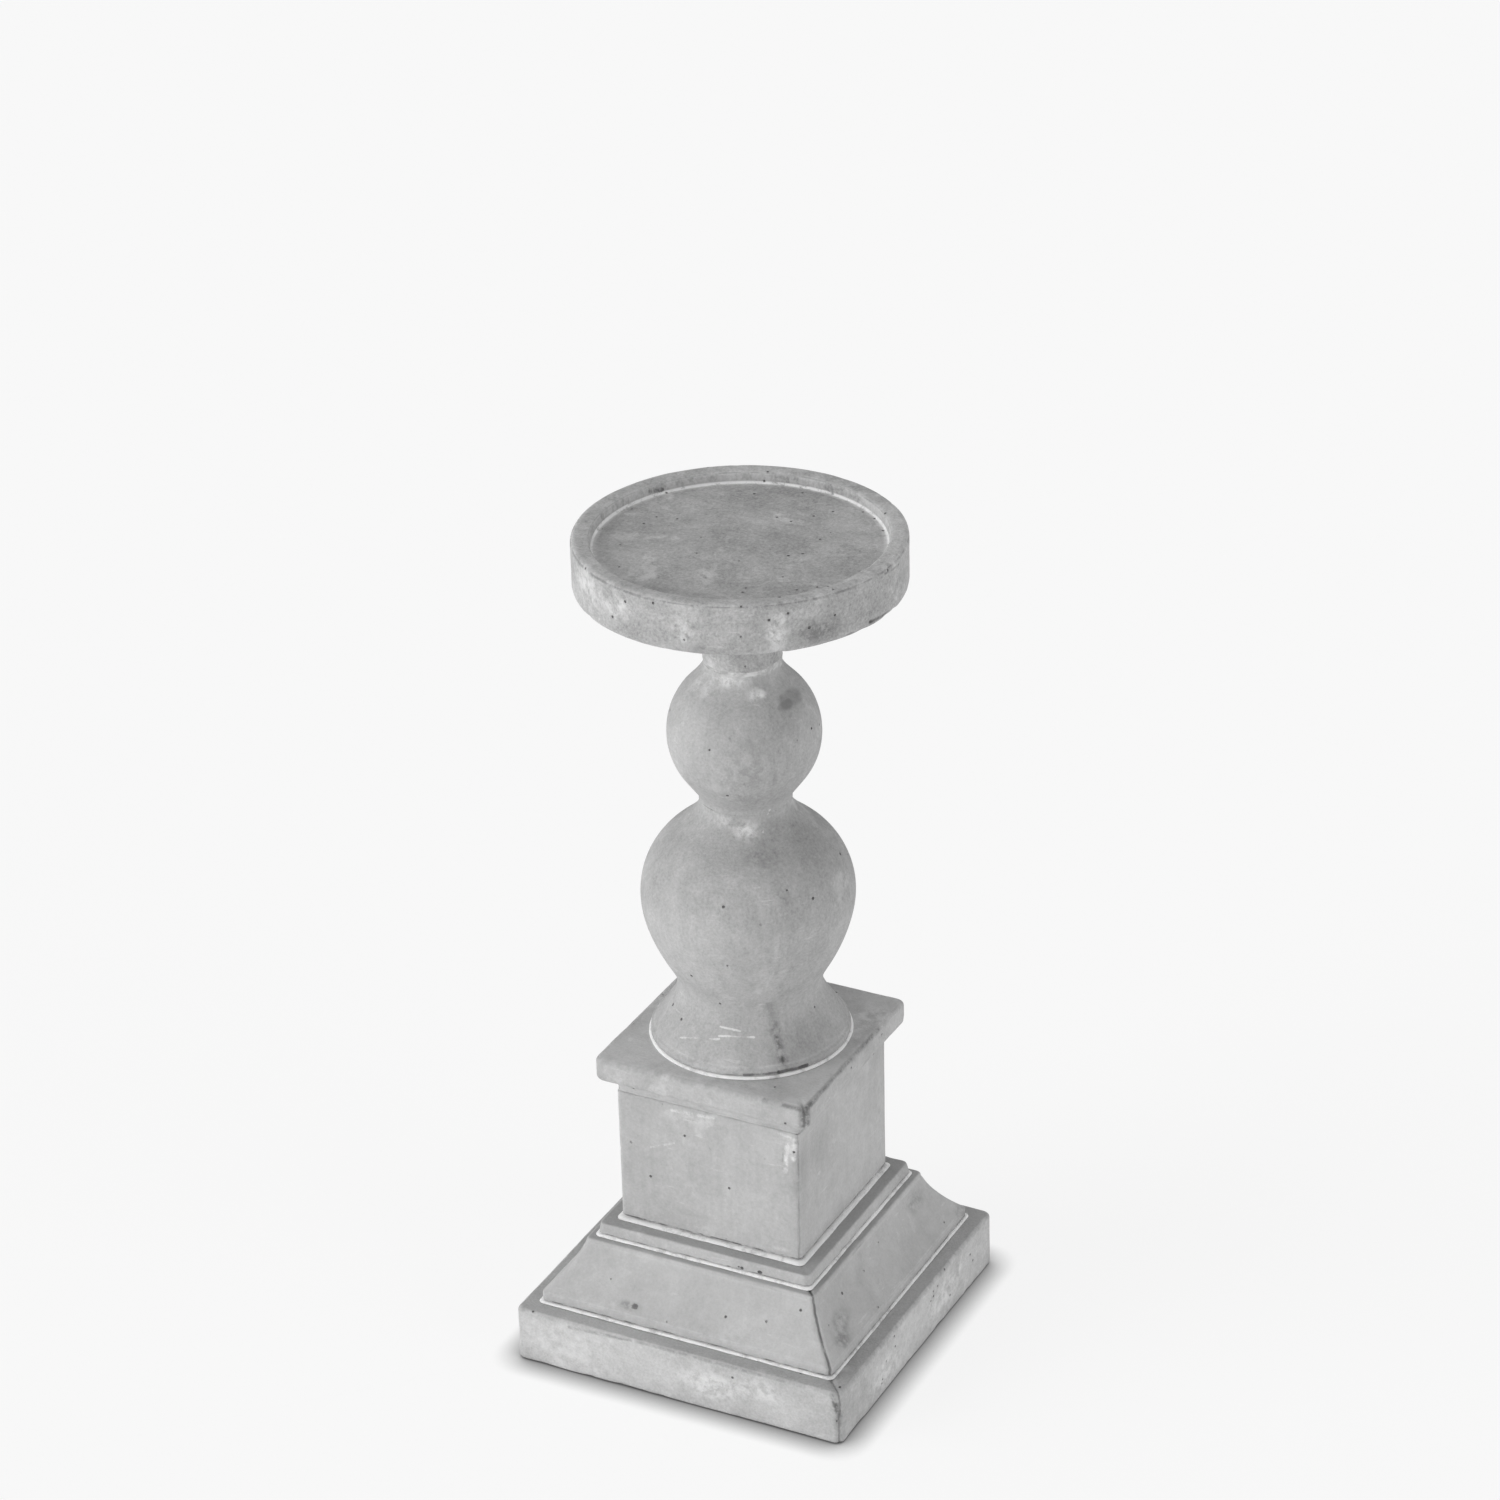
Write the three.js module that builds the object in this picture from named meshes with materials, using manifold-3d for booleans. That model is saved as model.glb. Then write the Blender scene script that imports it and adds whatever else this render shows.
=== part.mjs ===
// Cast-stone pedestal holder for one pillar candle: a square stepped base, a die with
// a moulded cap, a turned vase and ball, and a shallow round dish on top.
// Each casting is bedded on a thin ring or slab of pale mortar, and a steel rod on the
// axis ties them all together. Millimetres, +Z up, origin under the middle of the base.

import * as THREE from 'three';
import { mergeVertices } from 'three/addons/utils/BufferGeometryUtils.js';
import Module from 'manifold-3d';

const wasm = await Module();
wasm.setup();

// ---------- driving dimensions ----------

// Joints between pieces
const gap = 0.3;               // clearance left between any two neighbouring pieces
const mortarThickness = 0.6;   // mortar left in each bed
const mortarSqueeze = 0.9;     // how far a bed stands proud of the casting above it

// Felt pads under the base
const padRadius = 9;
const padThickness = 1.2;
const padInset = 18;           // pad centre to the edge of the plinth

// Plinth slab
const plinthSide = 152;
const plinthHeight = 24;
const plinthCorner = 3.5;      // radius of its upright corners
const plinthTopEdge = 1.8;
const plinthFootEdge = 1.2;

// Ogee moulding on the plinth
const ogeeLedge = 8;           // from the plinth's face in to the ogee's foot
const ogeeRun = 14.5;          // from its foot in to its top edge
const ogeeHeight = 26.4;
const ogeeLip = 3;             // upright band at its foot
const ogeeLipEdge = 1.2;       // rounding above that band
const ogeeRoll = 3.4;          // small roll along its top edge
const ogeeTopEdge = 1.2;
const ogeeCorner = 3;

// Step under the die
const stepLedge = 3.9;         // from the ogee's top edge in to the step
const stepSplay = 1;           // how far its face leans in
const stepHeight = 4.9;
const stepFoot = 1;            // upright band at its foot
const stepCorner = 3;

// Die
const dieLedge = 7.6;          // from the step's foot in to the die
const dieHeight = 61.7;
const dieCorner = 2;

// Cap
const capOverhang = 6.7;       // from the die's face out to the nosing
const capHeight = 16.6;
const capCove = 5.2;           // height of the cove under its nosing
const capTopEdge = 2.2;
const capUnderEdge = 2.8;
const capCorner = 3.5;

// Turned vase
const footLedge = 7.1;         // from the cap's nosing in to the foot
const footLip = 2;             // upright band round the foot
const footEdge = 1.5;          // rounding above that band
const vaseNeckRadius = 30.1;
const vaseNeckHeight = 22.9;   // neck above the underside of the foot
const bellyRadius = 44.2;
const bellyRise = 41.5;        // belly above the neck
const shoulderRadius = 37.9;   // curve from the belly up to the waist
const shoulderFillet = 10.5;   // width of the fillet from that curve to the waist
const waistRadius = 19;
const vaseWaist = 4.9;         // upright stretch at the top of the vase

// Turned ball
const ballRadius = 31.4;
const ballWaist = 4;           // upright stretch under the ball
const ballFootFillet = 2.9;    // width of the fillet from it to the ball
const ballNeckRadius = 15.8;
const ballNeckFillet = 6.7;    // width of the fillet from the ball to its neck
const ballNeck = 3.14;         // upright stretch at the top

// Candle dish
const collarProud = 0.2;       // collar's radius over the ball's neck
const collarHeight = 11.4;
const dishFlare = 21;          // radius of the cavetto from the collar to the underside
const dishFloorRadius = 58.4;
const dishWall = 8.6;          // from the floor's edge out to the dish's face
const dishWallHeight = 21.8;
const dishRecess = 5;
const dishRimWidth = 4.6;      // crest of the rim, measured in from its outer face
const dishUnderEdge = 2.4;
const dishRimEdge = 2.4;       // rounding of the rim's outer edge
const dishRimFoot = 1;         // small cove where the rim meets the floor

// Tie rod and its fittings
const rodRadius = 4;
const rodClearance = 1;        // between the rod and each casting's bore
const rodProud = 2.5;          // rod end below the nut
const rodShort = 6;            // rod's top end to the top of the socket's tube
const socketWall = 3;
const socketFlange = 5;        // flange's reach beyond the tube
const socketFlangeThickness = 3;
const socketSetback = 1;       // socket's mouth inside the collar
const socketCover = 10.9;      // stone over the socket, under the dish's floor
const nutWall = 2.5;           // rod's surface to the middle of a flat
const nutHeight = 6.5;
const washerReach = 10;        // washer's edge beyond the rod
const washerThickness = 2.5;
const pocketClearance = 3;     // round the washer, in the pocket under the plinth
const pocketCover = 1.5;       // rod end to the underside of the plinth

// Smoothness of round and curved faces
const turnedSides = 40;
const rodSides = 24;
const arcSteps = 3;
const curveSteps = 5;

// ---------- sizes that follow from those above ----------

const bore = rodRadius + rodClearance;
const fittingBore = rodRadius + gap;
const bedPitch = mortarThickness + 2 * gap;

const ogeeSide = plinthSide - 2 * ogeeLedge;
const ogeeTopSide = ogeeSide - 2 * ogeeRun;
const stepSide = ogeeTopSide - 2 * stepLedge;
const dieSide = stepSide - 2 * dieLedge;
const capSide = dieSide + 2 * capOverhang;
const footRadius = capSide / 2 - footLedge;
const collarRadius = ballNeckRadius + collarProud;
const dishRadius = dishFloorRadius + dishWall;

// The vase's shoulder and both ends of the ball are arcs that stop where a fillet,
// tangent to the arc, begins. Each angle is measured from the level of the arc's centre.
const shoulderCentre = bellyRadius - shoulderRadius;
const shoulderTurn = Math.acos((waistRadius + shoulderFillet - shoulderCentre) / shoulderRadius);
const shoulderTop = shoulderRadius * Math.sin(shoulderTurn);
const shoulderCorner = shoulderTop + shoulderFillet / Math.tan(shoulderTurn);
const bellyHeight = vaseNeckHeight + bellyRise;
const vaseHeight = bellyHeight + shoulderCorner + vaseWaist;

const ballLowTurn = Math.acos((waistRadius + ballFootFillet) / ballRadius);
const ballHighTurn = Math.acos((ballNeckRadius + ballNeckFillet) / ballRadius);
const ballLowCorner = ballRadius * Math.sin(ballLowTurn) + ballFootFillet / Math.tan(ballLowTurn);
const ballHighCorner = ballRadius * Math.sin(ballHighTurn) + ballNeckFillet / Math.tan(ballHighTurn);
const ballCentreHeight = ballWaist + ballLowCorner;
const ballHeight = ballCentreHeight + ballHighCorner + ballNeck;

const dishUnderside = collarHeight + dishFlare;
const dishRimTop = dishUnderside + dishWallHeight;
const dishFloor = dishRimTop - dishRecess;

const plinthBottom = padThickness + gap;
const ogeeBottom = plinthBottom + plinthHeight + bedPitch;
const stepBottom = ogeeBottom + ogeeHeight + bedPitch;
const dieBottom = stepBottom + stepHeight + bedPitch;
const capBottom = dieBottom + dieHeight + bedPitch;
const vaseBottom = capBottom + capHeight + bedPitch;
const ballBottom = vaseBottom + vaseHeight + bedPitch;
const dishBottom = ballBottom + ballHeight + bedPitch;

const socketRadius = rodRadius + socketWall;
const flangeRadius = socketRadius + socketFlange;
const flangeTop = dishFloor - socketCover - gap;
const flangeBottom = flangeTop - socketFlangeThickness;
const rodTop = dishBottom + flangeBottom - rodShort;
const washerRadius = rodRadius + washerReach;
const pocketRadius = washerRadius + pocketClearance;
const pocketDepth = gap + washerThickness + gap + nutHeight + rodProud + pocketCover;
const washerBottom = plinthBottom + pocketDepth - gap - washerThickness;
const nutBottom = washerBottom - gap - nutHeight;
const rodBottom = nutBottom - rodProud;

// ---------- making and cutting solids ----------

// Stands a geometry made around +Y up along +Z.
function upright(geometry) {
  return geometry.rotateX(Math.PI / 2);
}

// Turns an outline of radius and height about the vertical axis.
function turned(outline, sides = turnedSides) {
  return upright(new THREE.LatheGeometry(outline, sides));
}

function asSolid(geometry) {
  geometry.deleteAttribute('normal');
  geometry.deleteAttribute('uv');
  const merged = mergeVertices(geometry, 1e-4);
  const vertProperties = new Float32Array(merged.attributes.position.array);
  const triVerts = new Uint32Array(merged.index.array);
  return new wasm.Manifold(new wasm.Mesh({ numProp: 3, vertProperties, triVerts }));
}

function asGeometry(solid) {
  const mesh = solid.getMesh();
  const geometry = new THREE.BufferGeometry();
  geometry.setAttribute('position', new THREE.BufferAttribute(mesh.vertProperties, 3));
  geometry.setIndex(new THREE.BufferAttribute(mesh.triVerts, 1));
  geometry.computeVertexNormals();
  return geometry;
}

// A round hole on the axis, from one height to another.
function hole(radius, from, to) {
  const drill = new THREE.CylinderGeometry(radius, radius, to - from, rodSides);
  return asSolid(upright(drill).translate(0, 0, (from + to) / 2));
}

function roundedSquare(side, corner) {
  const half = side / 2;
  const inner = half - corner;
  const shape = new THREE.Shape();
  shape.moveTo(-inner, -half);
  shape.lineTo(inner, -half);
  shape.absarc(inner, -inner, corner, -Math.PI / 2, 0);
  shape.lineTo(half, inner);
  shape.absarc(inner, inner, corner, 0, Math.PI / 2);
  shape.lineTo(-inner, half);
  shape.absarc(-inner, inner, corner, Math.PI / 2, Math.PI);
  shape.lineTo(-half, -inner);
  shape.absarc(-inner, -inner, corner, Math.PI, 1.5 * Math.PI);
  return shape;
}

// A square block with a straight upright face and rounded upright corners.
function squarePrism(side, corner, height) {
  const shape = roundedSquare(side, corner);
  return new THREE.ExtrudeGeometry(shape, {
    depth: height, bevelEnabled: false, curveSegments: arcSteps,
  });
}

// A square block whose four faces follow one outline of half-width and height, mitred
// at the corners, with its widest corners rounded in plan and a bore on the axis.
function mouldedBlock(outline, side, corner, height) {
  const corners = outline.map((point) => new THREE.Vector2(point.x * Math.SQRT2, point.y));
  const mitred = asSolid(upright(new THREE.LatheGeometry(corners, 4, Math.PI / 4)));
  const prism = asSolid(squarePrism(side, corner, height));
  return mitred.intersect(prism).subtract(hole(bore, -1, height + 1));
}

function named(name, geometry, material, bottom) {
  const mesh = new THREE.Mesh(geometry, material);
  mesh.name = name;
  mesh.position.z = bottom;
  return mesh;
}

// ---------- finishes ----------

function castStone(color) {
  return new THREE.MeshStandardMaterial({ color, roughness: 0.92, metalness: 0 });
}

const mortarFinish = () => new THREE.MeshStandardMaterial({
  color: 0xdedcd8, roughness: 0.95, metalness: 0,
});

const steelFinish = () => new THREE.MeshStandardMaterial({
  color: 0x8f9296, roughness: 0.4, metalness: 1,
});

const feltFinish = () => new THREE.MeshStandardMaterial({
  color: 0x4a4a4a, roughness: 1, metalness: 0,
});

// ---------- castings, from the ground up ----------

function plinthSlab() {
  const half = plinthSide / 2;
  const path = new THREE.Path();
  path.moveTo(0, 0);
  path.lineTo(half - plinthFootEdge, 0);
  path.lineTo(half, plinthFootEdge);
  path.lineTo(half, plinthHeight - plinthTopEdge);
  path.absarc(half - plinthTopEdge, plinthHeight - plinthTopEdge, plinthTopEdge, 0, Math.PI / 2);
  path.lineTo(0, plinthHeight);
  const outline = path.getPoints(arcSteps);
  const block = mouldedBlock(outline, plinthSide, plinthCorner, plinthHeight);
  const slab = block.subtract(hole(pocketRadius, -1, pocketDepth));
  return named('plinth_slab', asGeometry(slab), castStone(0xb9b9b7), plinthBottom);
}

function baseOgee() {
  const half = ogeeSide / 2;
  const topHalf = ogeeTopSide / 2;
  const path = new THREE.Path();
  path.moveTo(0, 0);
  path.lineTo(half, 0);
  path.lineTo(half, ogeeLip);
  path.lineTo(half - 0.6 * ogeeLipEdge, ogeeLip + ogeeLipEdge);
  path.bezierCurveTo(
    half - 0.33 * ogeeRun, 0.31 * ogeeHeight,
    half - 0.76 * ogeeRun, 0.6 * ogeeHeight,
    topHalf + 0.25 * ogeeRoll, ogeeHeight - ogeeRoll,
  );
  path.lineTo(topHalf, ogeeHeight - ogeeTopEdge);
  path.lineTo(topHalf - ogeeTopEdge, ogeeHeight);
  path.lineTo(0, ogeeHeight);
  const block = mouldedBlock(path.getPoints(curveSteps), ogeeSide, ogeeCorner, ogeeHeight);
  return named('base_ogee', asGeometry(block), castStone(0xb0b0ae), ogeeBottom);
}

function baseStep() {
  const half = stepSide / 2;
  const path = new THREE.Path();
  path.moveTo(0, 0);
  path.lineTo(half, 0);
  path.lineTo(half, stepFoot);
  path.quadraticCurveTo(
    half - 0.6 * stepSplay, 0.9 * stepHeight,
    half - 1.5 * stepSplay, stepHeight,
  );
  path.lineTo(0, stepHeight);
  const outline = path.getPoints(arcSteps);
  const block = mouldedBlock(outline, stepSide, stepCorner, stepHeight);
  return named('base_step', asGeometry(block), castStone(0xaeaeac), stepBottom);
}

function pedestalDie() {
  const prism = asSolid(squarePrism(dieSide, dieCorner, dieHeight));
  const block = prism.subtract(hole(bore, -1, dieHeight + 1));
  return named('pedestal_die', asGeometry(block), castStone(0xb2b2b0), dieBottom);
}

function pedestalCap() {
  const half = capSide / 2;
  const foot = dieSide / 2;
  const path = new THREE.Path();
  path.moveTo(0, 0);
  path.lineTo(foot, 0);
  path.quadraticCurveTo(foot + 0.06 * capOverhang, 0.8 * capCove, half - capUnderEdge, capCove);
  path.absarc(
    half - capUnderEdge, capCove + capUnderEdge, capUnderEdge, -Math.PI / 2, 0,
  );
  path.lineTo(half, capHeight - capTopEdge);
  path.absarc(half - capTopEdge, capHeight - capTopEdge, capTopEdge, 0, Math.PI / 2);
  path.lineTo(0, capHeight);
  const outline = path.getPoints(arcSteps);
  const block = mouldedBlock(outline, capSide, capCorner, capHeight);
  return named('pedestal_cap', asGeometry(block), castStone(0xa9a9a7), capBottom);
}

function balusterVase() {
  const footTop = footLip + footEdge;
  const flare = footRadius - footEdge - vaseNeckRadius;
  const neckDrop = vaseNeckHeight - footTop;
  const swell = bellyRadius - vaseNeckRadius;
  const shoulderEnd = waistRadius + shoulderFillet;
  const path = new THREE.Path();
  path.moveTo(bore, 0);
  path.lineTo(footRadius, 0);
  path.lineTo(footRadius, footLip);
  path.lineTo(footRadius - footEdge, footTop);
  path.bezierCurveTo(
    vaseNeckRadius + 0.64 * flare, footTop + 0.31 * neckDrop,
    vaseNeckRadius, footTop + 0.67 * neckDrop,
    vaseNeckRadius, vaseNeckHeight,
  );
  path.bezierCurveTo(
    vaseNeckRadius, vaseNeckHeight + 0.11 * bellyRise,
    vaseNeckRadius + 0.14 * swell, vaseNeckHeight + 0.18 * bellyRise,
    vaseNeckRadius + 0.31 * swell, vaseNeckHeight + 0.28 * bellyRise,
  );
  path.bezierCurveTo(
    vaseNeckRadius + 0.6 * swell, vaseNeckHeight + 0.45 * bellyRise,
    bellyRadius, vaseNeckHeight + 0.74 * bellyRise,
    bellyRadius, bellyHeight,
  );
  path.absarc(shoulderCentre, bellyHeight, shoulderRadius, 0, shoulderTurn);
  path.lineTo(shoulderEnd, bellyHeight + shoulderTop);
  path.quadraticCurveTo(
    waistRadius, bellyHeight + shoulderCorner,
    waistRadius, vaseHeight,
  );
  path.lineTo(bore, vaseHeight);
  path.closePath();
  const outline = path.getPoints(curveSteps);
  return named('baluster_vase', turned(outline), castStone(0xb4b4b2), vaseBottom);
}

function balusterBall() {
  const lowEdge = waistRadius + ballFootFillet;
  const lowArc = ballCentreHeight - ballRadius * Math.sin(ballLowTurn);
  const path = new THREE.Path();
  path.moveTo(bore, 0);
  path.lineTo(waistRadius, 0);
  path.quadraticCurveTo(waistRadius, ballWaist, lowEdge, lowArc);
  path.absarc(0, ballCentreHeight, ballRadius, -ballLowTurn, ballHighTurn);
  path.quadraticCurveTo(
    ballNeckRadius, ballCentreHeight + ballHighCorner,
    ballNeckRadius, ballHeight,
  );
  path.lineTo(bore, ballHeight);
  path.closePath();
  const outline = path.getPoints(curveSteps);
  return named('baluster_ball', turned(outline), castStone(0xb2b2b0), ballBottom);
}

// The dish, its collar and the pocket in its underside that is cast round the socket.
function candleDish() {
  const crest = dishRadius - dishRimWidth;
  const underEdge = dishRadius - dishUnderEdge;
  const rimEdge = dishRadius - dishRimEdge;
  const path = new THREE.Path();
  path.moveTo(0, flangeTop + gap);
  path.lineTo(flangeRadius + gap, flangeTop + gap);
  path.lineTo(flangeRadius + gap, flangeBottom - gap);
  path.lineTo(socketRadius + gap, flangeBottom - gap);
  path.lineTo(socketRadius + gap, 0);
  path.lineTo(collarRadius, 0);
  path.lineTo(collarRadius, collarHeight);
  path.absarc(collarRadius + dishFlare, collarHeight, dishFlare, Math.PI, Math.PI / 2, true);
  path.lineTo(underEdge, dishUnderside);
  path.absarc(underEdge, dishUnderside + dishUnderEdge, dishUnderEdge, -Math.PI / 2, 0);
  path.lineTo(dishRadius, dishRimTop - dishRimEdge);
  path.absarc(rimEdge, dishRimTop - dishRimEdge, dishRimEdge, 0, Math.PI / 2);
  path.lineTo(crest, dishRimTop);
  path.lineTo(dishFloorRadius + dishRimFoot, dishFloor + dishRimFoot);
  path.lineTo(dishFloorRadius, dishFloor);
  path.lineTo(0, dishFloor);
  const outline = path.getPoints(arcSteps);
  return named('candle_dish', turned(outline), castStone(0xacacaa), dishBottom);
}

// ---------- mortar beds ----------

function squareBed(name, side, corner, below) {
  const slab = asSolid(squarePrism(side + 2 * mortarSqueeze, corner, mortarThickness));
  const bed = slab.subtract(hole(bore, -1, mortarThickness + 1));
  return named(name, asGeometry(bed), mortarFinish(), below - gap - mortarThickness);
}

// A flat ring from an inner to an outer radius.
function ring(inner, outer, thickness, sides) {
  return turned([
    new THREE.Vector2(inner, 0),
    new THREE.Vector2(outer, 0),
    new THREE.Vector2(outer, thickness),
    new THREE.Vector2(inner, thickness),
    new THREE.Vector2(inner, 0),
  ], sides);
}

function roundBed(name, radius, below) {
  const bed = ring(bore, radius, mortarThickness, turnedSides);
  return named(name, bed, mortarFinish(), below - gap - mortarThickness);
}

// ---------- tie rod and its fittings ----------

function tieRod() {
  const rod = new THREE.CylinderGeometry(rodRadius, rodRadius, rodTop - rodBottom, rodSides);
  return named('tie_rod', upright(rod), steelFinish(), (rodTop + rodBottom) / 2);
}

// A threaded tube with a flange at its top, cast into the dish from below.
function threadedSocket() {
  const outline = [
    new THREE.Vector2(fittingBore, socketSetback),
    new THREE.Vector2(socketRadius, socketSetback),
    new THREE.Vector2(socketRadius, flangeBottom),
    new THREE.Vector2(flangeRadius, flangeBottom),
    new THREE.Vector2(flangeRadius, flangeTop),
    new THREE.Vector2(fittingBore, flangeTop),
    new THREE.Vector2(fittingBore, socketSetback),
  ];
  return named('threaded_socket', turned(outline, rodSides), steelFinish(), dishBottom);
}

function rodWasher() {
  const disc = ring(fittingBore, washerRadius, washerThickness, rodSides);
  return named('rod_washer', disc, steelFinish(), washerBottom);
}

function rodNut() {
  const cornerRadius = (rodRadius + nutWall) / Math.cos(Math.PI / 6);
  const blank = new THREE.CylinderGeometry(cornerRadius, cornerRadius, nutHeight, 6);
  const hex = asSolid(upright(blank).translate(0, 0, nutHeight / 2));
  const nut = hex.subtract(hole(fittingBore, -1, nutHeight + 1));
  return named('rod_nut', asGeometry(nut), steelFinish(), nutBottom);
}

// ---------- felt pads ----------

function feltPads() {
  const reach = plinthSide / 2 - padInset;
  const places = {
    front_left: [-1, -1], front_right: [1, -1], back_right: [1, 1], back_left: [-1, 1],
  };
  return Object.entries(places).map(([corner, [sideX, sideY]]) => {
    const disc = new THREE.CylinderGeometry(padRadius, padRadius, padThickness, rodSides);
    const pad = named(`felt_pad_${corner}`, upright(disc), feltFinish(), padThickness / 2);
    pad.position.x = sideX * reach;
    pad.position.y = sideY * reach;
    return pad;
  });
}

// ---------- the whole holder ----------

const holder = new THREE.Group();
holder.add(
  ...feltPads(),
  plinthSlab(),
  squareBed('mortar_ogee_plinth', ogeeSide, ogeeCorner, ogeeBottom),
  baseOgee(),
  squareBed('mortar_step_ogee', stepSide, stepCorner, stepBottom),
  baseStep(),
  squareBed('mortar_die_step', dieSide, dieCorner, dieBottom),
  pedestalDie(),
  squareBed('mortar_cap_die', dieSide - 2 * mortarSqueeze, dieCorner, capBottom),
  pedestalCap(),
  roundBed('mortar_vase_cap', footRadius + mortarSqueeze, vaseBottom),
  balusterVase(),
  roundBed('mortar_ball_vase', waistRadius, ballBottom),
  balusterBall(),
  roundBed('mortar_dish_ball', ballNeckRadius, dishBottom),
  candleDish(),
  tieRod(),
  threadedSocket(),
  rodWasher(),
  rodNut(),
);

export default holder;
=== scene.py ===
import math

import bmesh
import bpy
from mathutils import Matrix, Vector, geometry, noise


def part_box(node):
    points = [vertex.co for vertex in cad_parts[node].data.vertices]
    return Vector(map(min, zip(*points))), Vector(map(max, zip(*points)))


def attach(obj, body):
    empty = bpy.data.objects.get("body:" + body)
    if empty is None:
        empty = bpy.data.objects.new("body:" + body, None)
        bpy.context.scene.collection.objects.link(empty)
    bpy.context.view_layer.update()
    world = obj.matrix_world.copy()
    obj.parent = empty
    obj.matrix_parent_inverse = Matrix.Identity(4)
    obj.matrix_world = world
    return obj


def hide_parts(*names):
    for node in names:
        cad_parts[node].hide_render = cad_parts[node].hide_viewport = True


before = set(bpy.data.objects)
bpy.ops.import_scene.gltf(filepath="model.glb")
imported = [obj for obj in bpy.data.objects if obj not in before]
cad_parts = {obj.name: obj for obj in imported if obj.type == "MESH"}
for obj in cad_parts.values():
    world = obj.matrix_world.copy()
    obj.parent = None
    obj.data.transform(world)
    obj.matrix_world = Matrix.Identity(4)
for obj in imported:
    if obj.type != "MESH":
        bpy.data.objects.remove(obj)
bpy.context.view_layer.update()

mm = 0.001
ROOT = "root"


# ---- Felt pads ----
# Four round pads of dense dark felt, punched from sheet and stuck under the corners of
# the base. They keep the stone off the table.

class Outline:
    """A cross-section drawn with a pen: reach from the axis and height, in millimetres.
    The pen leaves a point at every step or less, so that the mesh can carry wear."""

    def __init__(self, reach, height, step=1.0):
        self.points = [Vector((reach, 0, height))]
        self.step = step

    def to(self, reach, height):
        start, end = self.points[-1], Vector((reach, 0, height))
        count = max(1, math.ceil((end - start).length / self.step))
        self.points += [start.lerp(end, i / count) for i in range(1, count + 1)]
        return self

    def sweep(self, leaving, arriving, end):
        """A smooth curve to end, pulled towards the two handles on its way."""
        start = self.points[-1]
        handles = [Vector((reach, 0, height)) for reach, height in (leaving, arriving, end)]
        count = max(3, math.ceil((handles[-1] - start).length * 1.15 / self.step))
        self.points += geometry.interpolate_bezier(start, *handles, count + 1)[1:]
        return self

    def bend(self, pull, end):
        """A curve to end, pulled towards one handle."""
        start = self.points[-1]
        leaving = (start.x + 2 / 3 * (pull[0] - start.x), start.z + 2 / 3 * (pull[1] - start.z))
        arriving = (end[0] + 2 / 3 * (pull[0] - end[0]), end[1] + 2 / 3 * (pull[1] - end[1]))
        return self.sweep(leaving, arriving, end)

    def arc(self, centre, radius, start, end, least=5):
        """Part of a circle round centre, between two angles in degrees."""
        length = radius * math.radians(abs(end - start))
        count = max(least, math.ceil(length / self.step))
        for i in range(1, count + 1):
            angle = math.radians(start + (end - start) * i / count)
            self.points.append(Vector((
                centre[0] + radius * math.cos(angle), 0, centre[1] + radius * math.sin(angle))))
        return self


def turned(outline, sides, bottom, closed=True):
    """Spins an outline once round the vertical axis, and stands it at bottom (metres)."""
    bm = bmesh.new()
    verts = [bm.verts.new(point) for point in outline.points]
    edges = [bm.edges.new(pair) for pair in zip(verts, verts[1:])]
    if closed:
        edges.append(bm.edges.new((verts[-1], verts[0])))
    bmesh.ops.spin(
        bm, geom=verts + edges, cent=(0, 0, 0), axis=(0, 0, 1), angle=2 * math.pi,
        steps=sides, use_merge=True)
    bmesh.ops.remove_doubles(bm, verts=bm.verts, dist=1e-4)
    bmesh.ops.scale(bm, verts=bm.verts, vec=(mm, mm, mm))
    bmesh.ops.translate(bm, verts=bm.verts, vec=(0, 0, bottom))
    bmesh.ops.recalc_face_normals(bm, faces=bm.faces)
    return bm


def fitted(bm, name, finish, slot, *nodes):
    """Makes a finished mesh into a piece that stands for CAD nodes."""
    bmesh.ops.recalc_face_normals(bm, faces=bm.faces)
    for face in bm.faces:
        face.smooth = True
    mesh = bpy.data.meshes.new(name)
    bm.to_mesh(mesh)
    bm.free()
    mesh.set_sharp_from_angle(angle=math.radians(50))
    mesh.materials.append(finish)
    piece = bpy.data.objects.new(name, mesh)
    bpy.context.scene.collection.objects.link(piece)
    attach(piece, ROOT)
    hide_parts(*nodes)
    return piece


class Signal:
    """A number, colour or vector on its way through a finish's nodes."""

    def __init__(self, finish, socket):
        self.finish, self.socket = finish, socket

    def maths(self, operation, *others):
        inputs = dict(enumerate((self, *others)))
        return self.finish.node("Math", {"operation": operation}, inputs)

    def __add__(self, other):
        return self.maths("ADD", other)

    def __sub__(self, other):
        return self.maths("SUBTRACT", other)

    def __rsub__(self, other):
        return self.maths("MULTIPLY_ADD", -1.0, other)

    def __mul__(self, other):
        return self.maths("MULTIPLY", other)

    __radd__ = __add__
    __rmul__ = __mul__

    def beside(self, output):
        """Another output of the node that this one comes from."""
        return Signal(self.finish, self.socket.node.outputs[output])

    def size(self):
        return self.maths("ABSOLUTE")

    def most(self, other):
        return self.maths("MAXIMUM", other)

    def from_to(self, low, high):
        """Rises smoothly from 0 at low to 1 at high; falls if low is above high."""
        ends = {"From Min": min(low, high), "From Max": max(low, high), "Value": self}
        ends["To Min"], ends["To Max"] = (0.0, 1.0) if low < high else (1.0, 0.0)
        return self.finish.node("MapRange", {"interpolation_type": "SMOOTHSTEP"}, ends)


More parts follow.
